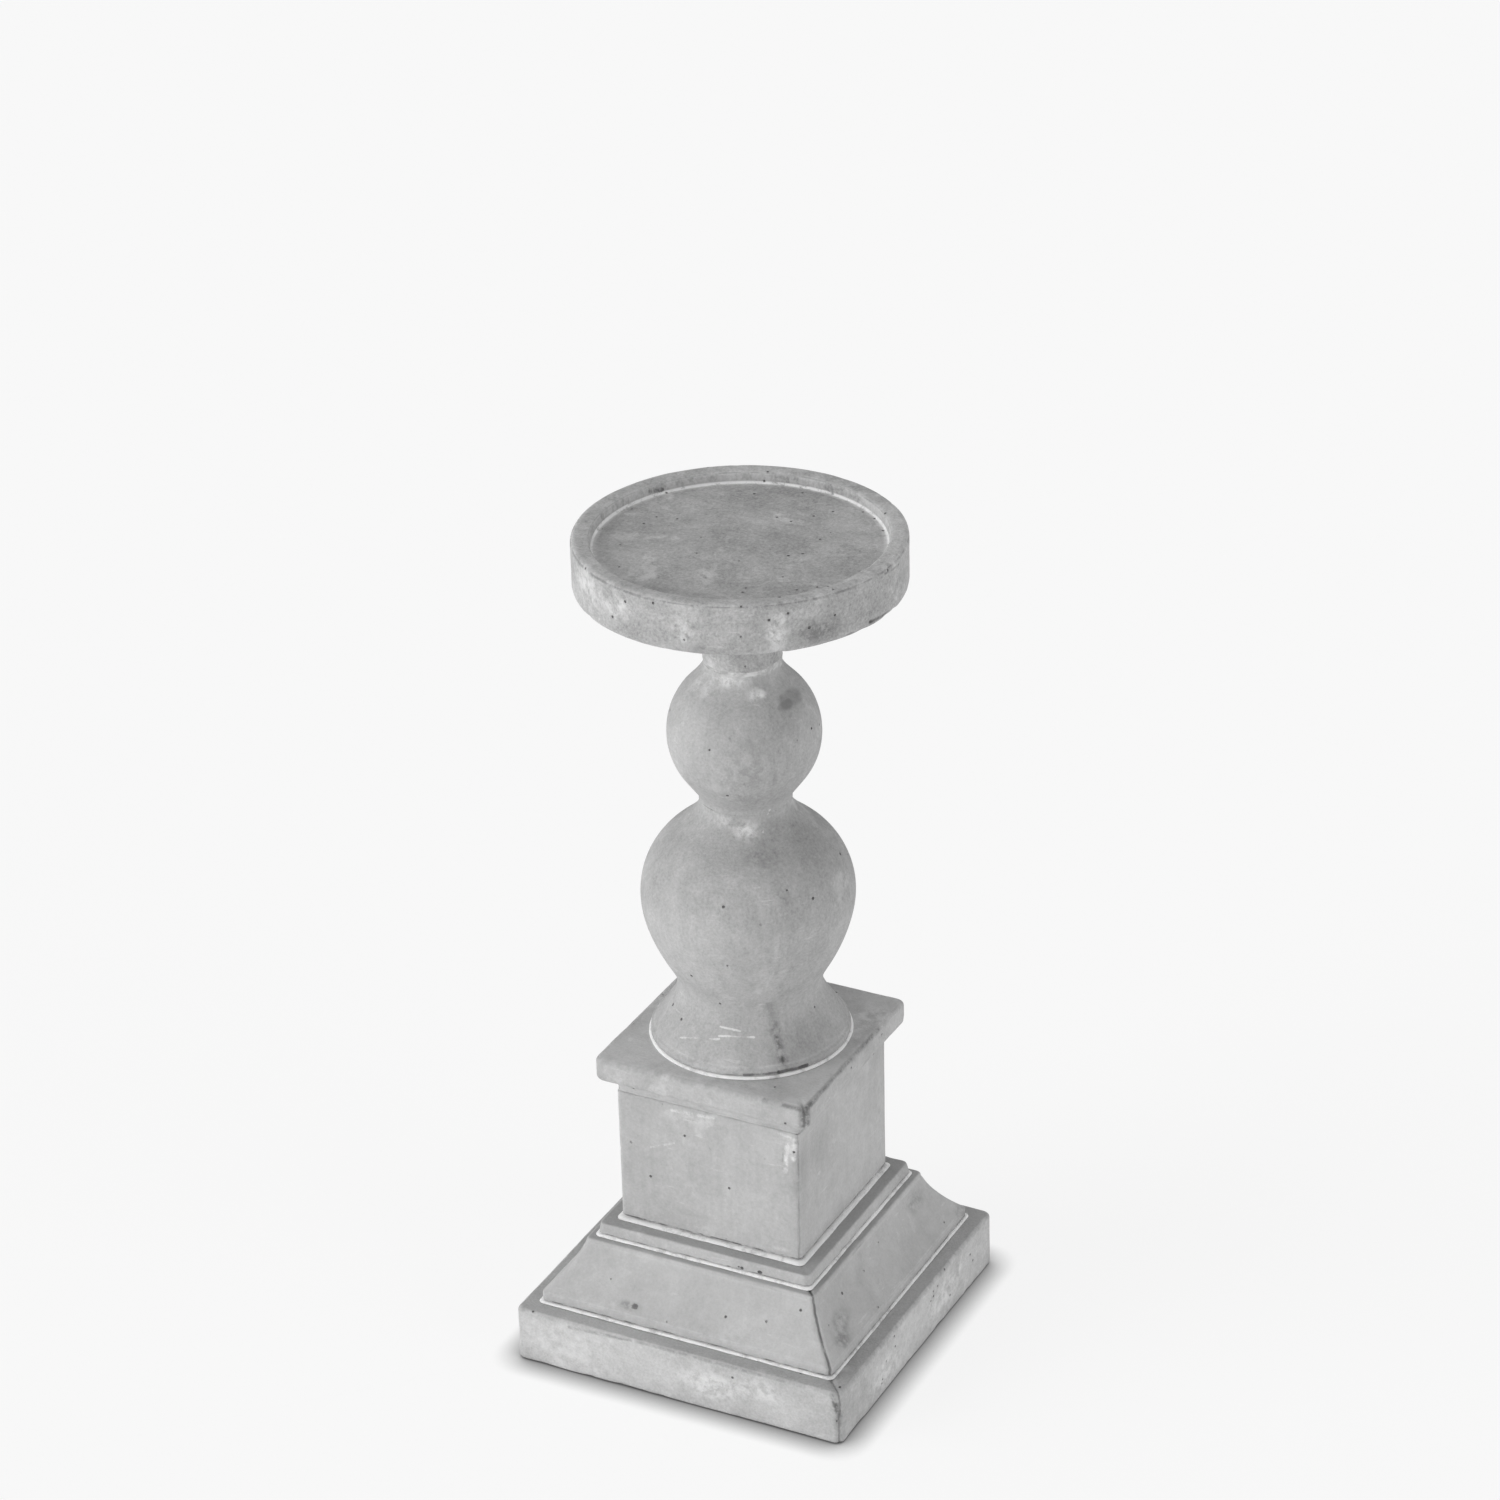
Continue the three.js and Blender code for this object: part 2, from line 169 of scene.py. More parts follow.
class Finish:
    """A material under construction: its node tree and the shader that it ends in."""

    def __init__(self, name):
        self.material = bpy.data.materials.new(name)
        self.material.use_nodes = True
        self.tree = self.material.node_tree
        self.shader = self.tree.nodes["Principled BSDF"]
        self.place = self.node("TexCoord", {}, {}, output=3)

    def node(self, kind, settings, sockets, output=0):
        node = self.tree.nodes.new("ShaderNode" + kind)
        for name, value in settings.items():
            setattr(node, name, value)
        for key, value in sockets.items():
            self.feed(node.inputs[key], value)
        return Signal(self, node.outputs[output])

    def feed(self, socket, value):
        if isinstance(value, Signal):
            self.tree.links.new(value.socket, socket)
        else:
            socket.default_value = value

    def shifted(self, by=(0, 0, 0), stretch=(1, 1, 1), turn=0.0):
        """The place on the object, moved in metres, turned about Z and stretched."""
        sockets = {"Vector": self.place, "Location": by, "Rotation": (0, 0, turn), "Scale": stretch}
        return self.node("Mapping", {"vector_type": "POINT"}, sockets)

    def noise(self, place, grain, detail=3.0, roughness=0.55, warp=0.0):
        """Noise between about 0.2 and 0.8 whose largest features are grain (metres) across."""
        sockets = {
            "Vector": place, "Scale": 1 / grain, "Detail": detail, "Roughness": roughness,
            "Distortion": warp}
        return self.node("TexNoise", {}, sockets)

    def attribute(self, name):
        return self.node("Attribute", {"attribute_name": name}, {}, output=2)

    def mix(self, factor, first, second):
        return self.node("Mix", {"data_type": "RGBA"}, {0: factor, 6: first, 7: second}, output=2)

    def vector_maths(self, operation, *values, output=0):
        return self.node("VectorMath", {"operation": operation}, dict(enumerate(values)), output)

    def reach_round(self, centre, half_sizes):
        """0 at the middle of an oval spot and 1 at its edge. Millimetres."""
        offset = self.vector_maths("SUBTRACT", self.place, Vector(centre) * mm)
        scaled = self.vector_maths("DIVIDE", offset, Vector(half_sizes) * mm)
        return self.vector_maths("LENGTH", scaled, output=1)

    def reach_along(self, start, end, radius):
        """0 on the line from start to end, and 1 at its radius. Millimetres."""
        start, along = Vector(start) * mm, (Vector(end) - Vector(start)) * mm
        offset = self.vector_maths("SUBTRACT", self.place, start)
        travel = self.vector_maths("DOT_PRODUCT", offset, along, output=1)
        travel = self.node("Clamp", {}, {0: travel * (1 / along.length_squared)})
        nearest = self.node("VectorMath", {"operation": "SCALE"}, {0: along, 3: travel})
        aside = self.vector_maths("DISTANCE", offset, nearest, output=1)
        return aside * (1 / (radius * mm))

    def bump(self, height, depth, strength=1.0):
        return self.node("Bump", {}, {"Height": height, "Distance": depth, "Strength": strength})

    def wear(self, colour, roughness, normal):
        """Feeds the three things that change over the surface to the shader."""
        self.feed(self.shader.inputs["Base Color"], colour)
        self.feed(self.shader.inputs["Roughness"], roughness)
        self.feed(self.shader.inputs["Normal"], normal)
        return self.material


def grey(level):
    """A neutral grey, as a linear colour."""
    return (level, level, level, 1.0)


felt = Finish("dark_felt")
fibres = felt.noise(felt.shifted(stretch=(1, 0.35, 1), turn=0.6), 0.0011, detail=6, warp=1.5)
crossing_fibres = felt.noise(felt.shifted(stretch=(0.35, 1, 1), turn=-0.4), 0.0009, 5, warp=1.2)
fluff = felt.noise(felt.place, 0.006)
nap = fibres * 0.5 + crossing_fibres * 0.5
felt.shader.inputs["Specular IOR Level"].default_value = 0.2
felt.shader.inputs["Sheen Weight"].default_value = 0.4
felt.shader.inputs["Sheen Roughness"].default_value = 0.6
dark_felt = felt.wear(
    felt.mix((nap * 0.8 + fluff * 0.4).from_to(0.35, 0.85), grey(0.018), grey(0.06)),
    0.9 + fluff * 0.1, felt.bump(nap, 0.0006))

pad_edge = 0.35
for corner in ("front_left", "front_right", "back_right", "back_left"):
    node = "felt_pad_" + corner
    low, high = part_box(node)
    radius, thickness = (high[0] - low[0]) / 2 / mm, (high[2] - low[2]) / mm
    outline = Outline(0, 0, step=0.6).to(radius - pad_edge, 0)
    outline.arc((radius - pad_edge, pad_edge), pad_edge, -90, 0, least=3)
    outline.to(radius - 0.1, thickness - pad_edge)
    outline.arc((radius - pad_edge - 0.1, thickness - pad_edge), pad_edge, 0, 90, least=3)
    bm = turned(outline.to(0, thickness), 72, low[2], closed=False)
    centre = Vector(((low[0] + high[0]) / 2, (low[1] + high[1]) / 2, 0))
    bmesh.ops.translate(bm, verts=bm.verts, vec=centre)
    for vert in bm.verts:
        out = vert.co - centre
        rim = min(1.0, max(0.0, out.xy.length / mm / radius * 4 - 3))
        vert.co -= out * rim * 0.018 * (1 + noise.noise(vert.co * 900))
    fitted(bm, "felt_" + corner, dark_felt, "felt", node)


# ---- Plinth slab ----
# The square slab at the bottom, cast in concrete in a two-part mould that splits on the
# front and back corners. A pocket underneath takes the washer and nut of the tie rod.

bore = 5.0


def square_casting(outline, corner, holes, bottom, side_cuts=56):
    """A moulded square block: its outline is drawn up the middle of one face, from the
    underside to the top, and mitred round four rounded corners. The holes are the radius
    and height of each ring down the middle, from the underside up. Millimetres."""
    points = outline.points
    bm = bmesh.new()
    widest = max(point.x for point in points)
    bmesh.ops.create_grid(bm, x_segments=1, y_segments=1, size=widest)
    bmesh.ops.bevel(
        bm, geom=bm.verts[:], offset=corner, offset_type="OFFSET", segments=8, profile=0.5,
        affect="VERTICES", material=-1)
    longest = max(edge.calc_length() for edge in bm.edges)
    straight = [edge for edge in bm.edges if edge.calc_length() > longest / 2]
    bmesh.ops.subdivide_edges(bm, edges=straight, cuts=side_cuts)
    bmesh.ops.delete(bm, geom=bm.faces[:], context="FACES_ONLY")
    sides = len(bm.edges)

    def lift(ring, ratio, rise):
        """Draws a ring of edges on to the next height and reach."""
        grown = bmesh.ops.extrude_edge_only(bm, edges=ring)["geom"]
        verts = [item for item in grown if isinstance(item, bmesh.types.BMVert)]
        bmesh.ops.scale(bm, verts=verts, vec=(ratio, ratio, 1))
        bmesh.ops.translate(bm, verts=verts, vec=(0, 0, rise))
        fresh = set(verts)
        return [item for item in grown
                if isinstance(item, bmesh.types.BMEdge) and fresh.issuperset(item.verts)]

    first = bm.edges[:]
    bmesh.ops.scale(bm, verts=bm.verts, vec=(points[0].x / widest,) * 2 + (1,))
    bmesh.ops.translate(bm, verts=bm.verts, vec=(0, 0, points[0].z))
    last = first
    for here, there in zip(points, points[1:]):
        last = lift(last, there.x / here.x, there.z - here.z)
    circle = bmesh.ops.create_circle(
        bm, segments=sides, radius=holes[0][0], matrix=Matrix.Translation((0, 0, holes[0][1])))
    wall = list({edge for vert in circle["verts"] for edge in vert.link_edges})
    bmesh.ops.bridge_loops(bm, edges=first + wall)
    for (radius, height), (next_radius, next_height) in zip(holes, holes[1:]):
        wall = lift(wall, next_radius / radius, next_height - height)
    bmesh.ops.bridge_loops(bm, edges=last + wall)
    bmesh.ops.scale(bm, verts=bm.verts, vec=(mm, mm, mm))
    bmesh.ops.translate(bm, verts=bm.verts, vec=(0, 0, bottom))
    bmesh.ops.recalc_face_normals(bm, faces=bm.faces)
    return bm


def share(value, low, high):
    """How far value has come from low (0) to high (1)."""
    return min(1.0, max(0.0, (value - low) / (high - low)))


def weathered(bm, seed, swell=0.2, ripple=0.06, chips=1.6, seam=0.0, seam_width=0.9,
              seam_from=0.0):
    """Wears a new casting: faces that swell and ripple, chipped edges, and a ragged line
    where the two parts of its mould met. Amounts are in millimetres. It also marks each
    arris, inner corner and level ledge in attributes that the finish reads."""
    bm.normal_update()
    edge_bend, corner_bend, level_slope = (50, 230), (40, 200), (0.9, 0.98)
    arris = bm.verts.layers.float.new("arris")
    nook = bm.verts.layers.float.new("nook")
    ledge = bm.verts.layers.float.new("ledge")
    away = Vector((seed * 1.7, seed * 0.9, seed * 2.3))
    moves = []
    for vert in bm.verts:
        bend, count = 0.0, 0
        for edge in vert.link_edges:
            step = vert.co - edge.other_vert(vert).co
            bend += 2 * step.dot(vert.normal) / max(step.length_squared, 1e-8)
            count += 1
        bend /= max(count, 1)
        vert[arris] = share(bend, *edge_bend)
        vert[nook] = share(-bend, *corner_bend)
        vert[ledge] = share(vert.normal.z, *level_slope)
        spot = vert.co + away
        move = swell * noise.noise(spot * 17) + 0.5 * swell * noise.noise(spot * 43)
        move += ripple * noise.noise(spot * 130) + 0.5 * ripple * noise.noise(spot * 390)
        chip = noise.noise(spot * 85) + 0.45 * noise.noise(spot * 240) - 0.3
        move -= chips * max(0.0, chip) * vert[arris]
        if seam and vert.co.x > seam_from * mm and vert.co.y < 0:
            wander = 0.7 * mm * noise.noise(Vector((seed, 0, vert.co.z * 90)))
            off = (vert.co.x + vert.co.y + wander) / math.sqrt(2) / mm / seam_width
            ragged = 0.65 + 0.7 * noise.noise(Vector((0, seed, vert.co.z * 210)))
            move -= seam * max(0.0, ragged) * math.exp(-off * off)
        outside_the_bore = share(vert.co.xy.length / mm, 9, 13)
        moves.append(vert.normal * (move * outside_the_bore * mm))
    for vert, move in zip(bm.verts, moves):
        vert.co += move


def cast_stone(name, seed, tone=0.0, mottle=1.0, patches=1.0, sandy=0.8, brushed=0.0,
               brush_turn=0.0, seam=0.0, seam_width=0.6, seam_from=0.0, scrawl=0.0, lime=0.2,
               pitted=0.0, rubbed=0.4, grimy=0.0, painted_ledge_shading=0.0, far_half=0.0, gaps=(), marks=(),
               strokes=()):
    """Grey cast concrete: clouded, with fine sand, pinholes, and pale lime in the inner
    corners. Its edges are rubbed pale or grimy, and its level ledges are darkened with painted
    shade, or lightened with painted light where that amount is below 0. Millimetres: a gap is
    a thin line round the piece (reach, height, width, how dark; pale below 0), and a dark gap
    at the foot of a casting is painted shadow in the joint; a mark is a stain, a pale patch or
    a patch of painted shadow (centre, half-sizes, how much lighter or darker, how ragged), and
    a stroke is the same from one point to another (start, end, radius, lighter, ragged). Above
    1, a ragged mark fades out in flecks; below, it has an edge."""
    stone = Finish(name)
    place = stone.shifted(by=(seed * 0.37, seed * 0.21, seed * 0.11))
    clouds = stone.noise(place, 0.06, detail=3, roughness=0.5, warp=0.4)
    drift = stone.noise(place, 0.018, detail=4, roughness=0.6, warp=0.6)
    stipple = stone.noise(place, 0.0042, detail=5, roughness=0.68)
    sand = stone.noise(place, 0.0011, detail=3, roughness=0.7)
    shade = (clouds - 0.5) * 0.6 + (drift - 0.5) * 0.65 + (stipple - 0.5) * 0.45
    shade = (shade + (sand - 0.5) * sandy) * mottle + (0.5 + tone)

    # Patches of lime bloom, with broken edges
    bloom = stone.noise(place, 0.03, detail=6, roughness=0.66, warp=0.9)
    crumb = stone.noise(place, 0.005, detail=5, roughness=0.75)
    lime_bloom = (bloom * 0.75 + crumb * 0.35).from_to(0.6, 0.72) * (0.55 * patches)

    # Long soft strokes left by the brush or the float
    if brushed:
        drags = stone.noise(stone.shifted(by=(seed, 0, 0), stretch=(0.1, 1, 1), turn=brush_turn),
                            0.0035, detail=6, roughness=0.65, warp=0.15)
        shade = shade + (drags - 0.5) * brushed
    if scrawl:
        upright = stone.noise(stone.shifted(by=(seed, 0, 0), stretch=(1, 1, 0.07)),
                              0.0028, detail=5, roughness=0.6, warp=0.2)
        shade = shade + (upright - 0.5) * scrawl

    # Pinholes where air was caught against the mould
    pits = None
    for cell, radius, empty in ((0.0095, 0.075, 0.55), (0.0062, 0.11, 0.9 - pitted)):
        cells = stone.node(
            "TexVoronoi", {"feature": "F1"}, {"Vector": place, "Scale": 1 / cell})
        lottery = stone.node("SeparateColor", {}, {0: cells.beside(1)})
        pit = cells.from_to(radius, radius * 0.45) * lottery.from_to(empty, empty + 0.05)
        pits = pit if pits is None else pits.most(pit)

    # Fine strokes: level ones from wiping the mould, and odd scratches
    level = stone.noise(stone.shifted(by=(seed, seed, 0), stretch=(0.12, 0.12, 1)), 0.0016,
                        detail=4, roughness=0.6, warp=0.1)
    slanted = stone.noise(stone.shifted(by=(0, seed, 0), stretch=(0.1, 0.5, 1), turn=0.9), 0.0022,
                          detail=3, roughness=0.6, warp=0.4)
    scratches = level.from_to(0.62, 0.7).most(slanted.from_to(0.66, 0.74))
    scratches = scratches * drift.from_to(0.46, 0.6)

    parted = stone.node("SeparateXYZ", {}, {0: stone.place})
    axes = [parted.beside(i) for i in range(3)]
    broken = stone.noise(stone.shifted(by=(seed, 0, 0), stretch=(1, 1, 0.4)), 0.007, 4, 0.65)

    # The half beyond the front corner is made slightly darker, with darker streaky runs near the
    # seam
    if far_half:
        drifted = axes[0] + axes[1] + (drift - 0.5) * (14 * mm)
        beyond = drifted.from_to(-3 * mm, 5 * mm)
        smudged = drifted.from_to(-12 * mm, 0.0) * drifted.from_to(14 * mm, 1 * mm)
        runs = stone.noise(stone.shifted(stretch=(1, 1, 0.16)), 0.0035, detail=5, roughness=0.7)
        shade = shade - beyond * far_half - smudged * runs.from_to(0.44, 0.7) * (2.2 * far_half)

    # The ragged line where the two parts of the mould met
    cracks = 0.0
    if seam:
        wander = stone.noise(stone.shifted(stretch=(0.2, 0.2, 1)), 0.011, 4, 0.6) - 0.5
        off = (axes[0] + axes[1] + wander * (3.2 * mm)).size()
        line = off.from_to(seam_width * mm, 0.15 * seam_width * mm)
        cracks = line * axes[0].from_to(seam_from * mm, (seam_from + 4) * mm)
        cracks = cracks * (broken.from_to(0.3, 0.5) * 0.7 + 0.3) * seam

    colour = stone.mix(shade, grey(0.25), grey(0.62))
    colour = stone.mix(lime_bloom, colour, grey(0.68))
    colour = stone.mix(scratches * 0.3, colour, grey(0.75))
    arris, nook = stone.attribute("arris"), stone.attribute("nook")
    colour = stone.mix(arris * crumb.from_to(0.38, 0.62) * rubbed, colour, grey(0.62))
    if grimy:
        colour = stone.mix(arris * broken.from_to(0.42, 0.56) * grimy, colour, grey(0.08))
    # Level ledges: painted shade darkens them, or painted light lightens them where the amount is
    # below 0.
    if painted_ledge_shading:
        ledge_shading_mask = stone.attribute("ledge") * (stipple * 0.7 + drift * 1.6 - 0.15) * abs(painted_ledge_shading)
        colour = stone.mix(ledge_shading_mask, colour, grey(0.12 if painted_ledge_shading > 0 else 0.8))
    settled = nook * (crumb * 0.6 + stipple * 0.5).from_to(0.4, 0.56) * lime
    colour = stone.mix(settled, colour, grey(0.85))

    relief = shade * 0.3 + stipple * 0.35 + sand * 0.25
    reaches = [(stone.reach_round(centre, half_sizes), lighter, ragged)
               for centre, half_sizes, lighter, ragged in marks]
    reaches += [(stone.reach_along(start, end, radius), lighter, ragged)
                for start, end, radius, lighter, ragged in strokes]
    for reach, lighter, ragged in reaches:
        if ragged > 1:
            flecks = (crumb - 0.5) * (1.6 * ragged) + (stipple - 0.5) * (1.6 * ragged) + 0.55
            mark = reach.from_to(1.3, 0.2) * flecks.from_to(0.0, 1.1) * (1.5 * abs(lighter))
        else:
            torn = (crumb - 0.5) * (2.6 * ragged) + (stipple - 0.5) * (2.4 * ragged) - reach
            mark = torn.from_to(-1.3, -0.7) * (crumb * 1.2 + sand * 0.8 - 0.05) * abs(lighter)
        colour = stone.mix(mark, colour, grey(0.8) if lighter > 0 else grey(0.1))
        relief = relief + mark * (0.5 if lighter > 0 else -0.4)

    # Thin lines where two faces or two pieces meet; a dark one at the foot of a casting is painted
    # shadow in the joint
    if gaps:
        across = axes[0].size().most(axes[1].size())
        if gaps[0] == "round":
            across = (axes[0] * axes[0] + axes[1] * axes[1]).maths("SQRT")
        for reach, height, width, dark in gaps[1:]:
            off = (across - reach * mm).size().most((axes[2] - height * mm).size())
            line = off.from_to(width * mm, 0.4 * width * mm) * broken.from_to(0.42, 0.56)
            colour = stone.mix(line * abs(dark), colour, grey(0.05 if dark > 0 else 0.8))
            relief = relief - line * dark
    colour = stone.mix(pits * 0.8, colour, grey(0.07))
    if seam:
        colour = stone.mix(cracks, colour, grey(0.08))
        relief = relief - cracks * 1.5
    relief = relief - pits * 2.2 - scratches * 0.15
    stone.shader.inputs["Specular IOR Level"].default_value = 0.3
    return stone.wear(
        colour, stipple * 0.12 + lime_bloom * 0.05 + 0.84, stone.bump(relief, 0.0005, 0.9))


low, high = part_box("plinth_slab")
half, height = high[0] / mm, (high[2] - low[2]) / mm
foot_edge, top_edge = 1.2, 1.8
pocket_radius, pocket_depth = 17.0, 13.6
droop = 1.0
outline = Outline(24, 0, step=7).to(half - 10, 0)
outline.step = 1.0
outline.bend((half - foot_edge - 3, -0.2), (half - foot_edge, -droop))
outline.arc((half - foot_edge, foot_edge - droop), foot_edge, -90, 0)
outline.to(half, height - top_edge)
outline.arc((half - top_edge, height - top_edge), top_edge, 0, 90, least=8)
outline.to(half - top_edge - 7, height)
outline.step = 14
outline.to(12, height)
bm = square_casting(
    outline, 3.5, ((pocket_radius, 0), (pocket_radius, pocket_depth), (bore, pocket_depth),
                   (bore, height)), low[2], side_cuts=72)
weathered(bm, 1.0, swell=0.32, ripple=0.07, chips=0.7, seam=0.6)
for vert in bm.verts:
    foot = 1 - share((vert.co.z - low[2]) / mm, 0, 5)
    rim = share(max(abs(vert.co.x), abs(vert.co.y)) / mm, half - 9, half - 3)
    vert.co.z += foot * rim * (0.3 * mm) * noise.noise(vert.co * 24)
    vert.co.z = max(vert.co.z, 0.15 * mm)
# The plinth's level top ledge gets painted shade.
plinth_stone = cast_stone(
    "plinth_stone", 1.0, tone=0.17, mottle=1.15, patches=1.4, sandy=0.7, seam=0.4,
    seam_width=0.9, rubbed=0.2, grimy=0.15, painted_ledge_shading=0.2, marks=(
        ((17, -76, 13), (18, 4, 8), 0.45, 1.9),
        ((40, -76, 17), (12, 4, 6), 0.3, 1.9),
        ((-50, -76, 12), (26, 4, 14), 0.3, 1.3),
        ((76, 25, 12), (4, 22, 9), 0.4, 1.8),
        ((76, -30, 10), (4, 18, 9), 0.4, 1.8),
        ((60, -76, 18), (14, 3, 6), -0.12, 1.9),
        ((74, -74, 12), (4, 4, 14), -0.3, 1.5)),
    strokes=(
        ((-50, -76, 22.8), (-21, -76, 24.3), 1.0, -0.45, 1.3),
        ((-18, -76, 24.8), (50, -76, 24.8), 0.9, -0.3, 1.9),
        ((72, -76, 24), (75.5, -75.5, 14), 1.4, -0.6, 1.5)))
fitted(bm, "plinth", plinth_stone, "cast_stone", "plinth_slab")


# ---- Mortar beds ----
# A thin bed of pale cement mortar under each casting. What squeezes out is struck off with
# a finger, and dries as a narrow pale bead round the foot of the casting above.

cement = Finish("pale_mortar")
lumps = cement.noise(cement.place, 0.0035, detail=5, roughness=0.7)
grit = cement.noise(cement.place, 0.0009, detail=3, roughness=0.7)
soiled = cement.noise(cement.place, 0.02, detail=5, roughness=0.65, warp=0.6)
cement.shader.inputs["Specular IOR Level"].default_value = 0.25
pale_mortar = cement.wear(
    cement.mix((lumps * 0.55 + soiled * 0.6).from_to(0.38, 0.6), grey(0.54), grey(0.9)),
    0.88 + grit * 0.1, cement.bump(lumps * 0.6 + grit * 0.4, 0.0004, 0.8))


def bead_outline(reach, proud, thickness, climb=0.35):
    """A bed from the bore out to a rounded bead that climbs the casting above it."""
    outline = Outline(12, -0.25, step=10).to(reach - 2, -0.25)
    outline.step = 0.5
    outline.to(reach + proud - 0.5, -0.25).arc((reach + proud - 0.45, 0.2), 0.45, -90, 0, least=3)
    outline.bend((reach + 0.8 * proud, thickness), (reach + 0.1, thickness + climb))
    outline.to(reach - 0.8, thickness + climb)
    outline.to(reach - 1.6, thickness + 0.2)
    outline.step = 10
    return outline.to(12, thickness + 0.2)


def struck(bm, seed, amount):
    """Makes a bead as uneven as a finger leaves it."""
    bm.normal_update()
    shift = Vector((seed, seed * 2, seed * 3))
    moves = [vert.normal * (amount * mm * (
        noise.noise((vert.co + shift) * 95) + 0.6 * noise.noise((vert.co + shift) * 310)))
        for vert in bm.verts]
    for vert, move in zip(bm.verts, moves):
        if vert.co.xy.length > 14 * mm:
            vert.co += move


bead = 0.9
for seed, (node, proud, climb) in enumerate((
        ("mortar_ogee_plinth", 0.9, 0.2), ("mortar_step_ogee", 1.0, 0.25),
        ("mortar_die_step", 1.7, 0.3))):
    low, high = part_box(node)
    reach, thickness = high[0] / mm - bead, (high[2] - low[2]) / mm
    bm = square_casting(
        bead_outline(reach, proud, thickness, climb), 2.5,
        ((bore, -0.25), (bore, thickness + 0.2)), low[2], side_cuts=110)
    struck(bm, seed + 0.3, 0.16)
    fitted(bm, node.replace("mortar", "bed"), pale_mortar, "mortar", node)


# ---- Base ogee ----
# The S-shaped moulding that carries the step in from the plinth to the die. It was cast in
# one piece, and bedded on the plinth.

low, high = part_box("base_ogee")
half, height = high[0] / mm, (high[2] - low[2]) / mm
top_half, lip, lip_edge, roll = 53.5, 3.0, 1.2, 3.4
run = half - top_half
outline = Outline(24, 0, step=12).to(half - 2, 0)
outline.step = 0.9
outline.to(half - 0.4, 0).to(half, 0.4).to(half, lip)
outline.bend((half, lip + 0.8 * lip_edge), (half - 0.6 * lip_edge, lip + lip_edge))
outline.sweep((half - 0.33 * run, 0.31 * height), (half - 0.76 * run, 0.6 * height),
              (top_half + 0.25 * roll, height - roll))
outline.bend((top_half + 0.1, height - 0.6 * roll), (top_half, height - 1.2))
outline.arc((top_half - 1.2, height - 1.2), 1.2, 0, 90)
outline.to(top_half - 7, height)
outline.step = 12
outline.to(12, height)
bm = square_casting(outline, 3.0, ((bore, 0), (bore, height)), low[2], side_cuts=64)
weathered(bm, 2.0, swell=0.3, ripple=0.06, chips=1.4, seam=0.9, seam_width=0.8)
foot_gap = low[2] / mm + 0.5
# The ogee's level top ledge gets painted shade.
ogee_stone = cast_stone(
    "ogee_stone", 2.0, tone=0.15, mottle=0.75, patches=0.6, sandy=0.5, seam=0.7, seam_width=1.1,
    # The dark gap line at its foot is painted shadow in the joint above the bed.
    rubbed=0.25, painted_ledge_shading=0.25, gaps=("square", (half, foot_gap, 0.5, 0.55)), marks=(
        ((61, -44, 38), (4, 8, 6), -0.35, 1.9),
        ((64.5, -50, 33.5), (4, 7, 5), -0.35, 1.9),
        ((56, 40, 46), (5, 9, 5), -0.3, 1.8),
        ((67, 62, 30), (5, 6, 4), -0.3, 1.8),
        ((-24.5, -65, 33.5), (1.3, 2, 0.8), -0.7, 0.7),
        ((-27, -65, 33.4), (6, 3, 2), -0.35, 1.8)),
    strokes=(((50, -52, 51), (53, -50, 49), 0.5, 0.4, 0.6),))
fitted(bm, "ogee_moulding", ogee_stone, "cast_stone", "base_ogee")


# ---- Base step ----
# A low splayed step under the die, cast on its own and bedded on the ogee.

low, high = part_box("base_step")
half, height = high[0] / mm, (high[2] - low[2]) / mm
splay, foot, top_edge = 0.5, 1.0, 0.9
outline = Outline(24, 0, step=10).to(half - 2, 0)
outline.step = 0.6
outline.to(half - 0.3, 0).to(half, 0.3).to(half, foot).to(half - splay, height - top_edge)
outline.bend((half - splay, height), (half - splay - top_edge, height))
outline.to(half - splay - 5, height)
outline.step = 12
outline.to(12, height)
bm = square_casting(outline, 3.0, ((bore, 0), (bore, height)), low[2], side_cuts=64)
weathered(bm, 3.0, swell=0.25, ripple=0.06, chips=0.9, seam=0.4)
# The step's level top ledge gets painted shade.
step_stone = cast_stone(
    "step_stone", 3.0, tone=0.1, mottle=0.9, patches=0.6, sandy=0.6, rubbed=0.25, painted_ledge_shading=0.24,
    # The dark gap line at its foot is painted shadow in the joint above the bed.
    gaps=("square", (half, low[2] / mm + 0.5, 0.4, 0.4)), marks=(
        ((18.5, -49.5, 55.6), (0.9, 1, 0.7), -1.4, 0.4),
        ((17, -49.5, 55.7), (0.5, 1, 0.4), -1.0, 0.4),
        ((27, -49.3, 55.8), (1.1, 1, 0.7), -1.4, 0.4)),
    strokes=(((49, -49, 55), (48.5, -48.5, 59), 0.6, 0.5, 1.2),))
fitted(bm, "step", step_stone, "cast_stone", "base_step")


# ---- Pedestal die ----
# The plain square block in the middle of the pedestal. Its front corner lost a flake when
# it left the mould, and was made good with a smear of pale mortar.

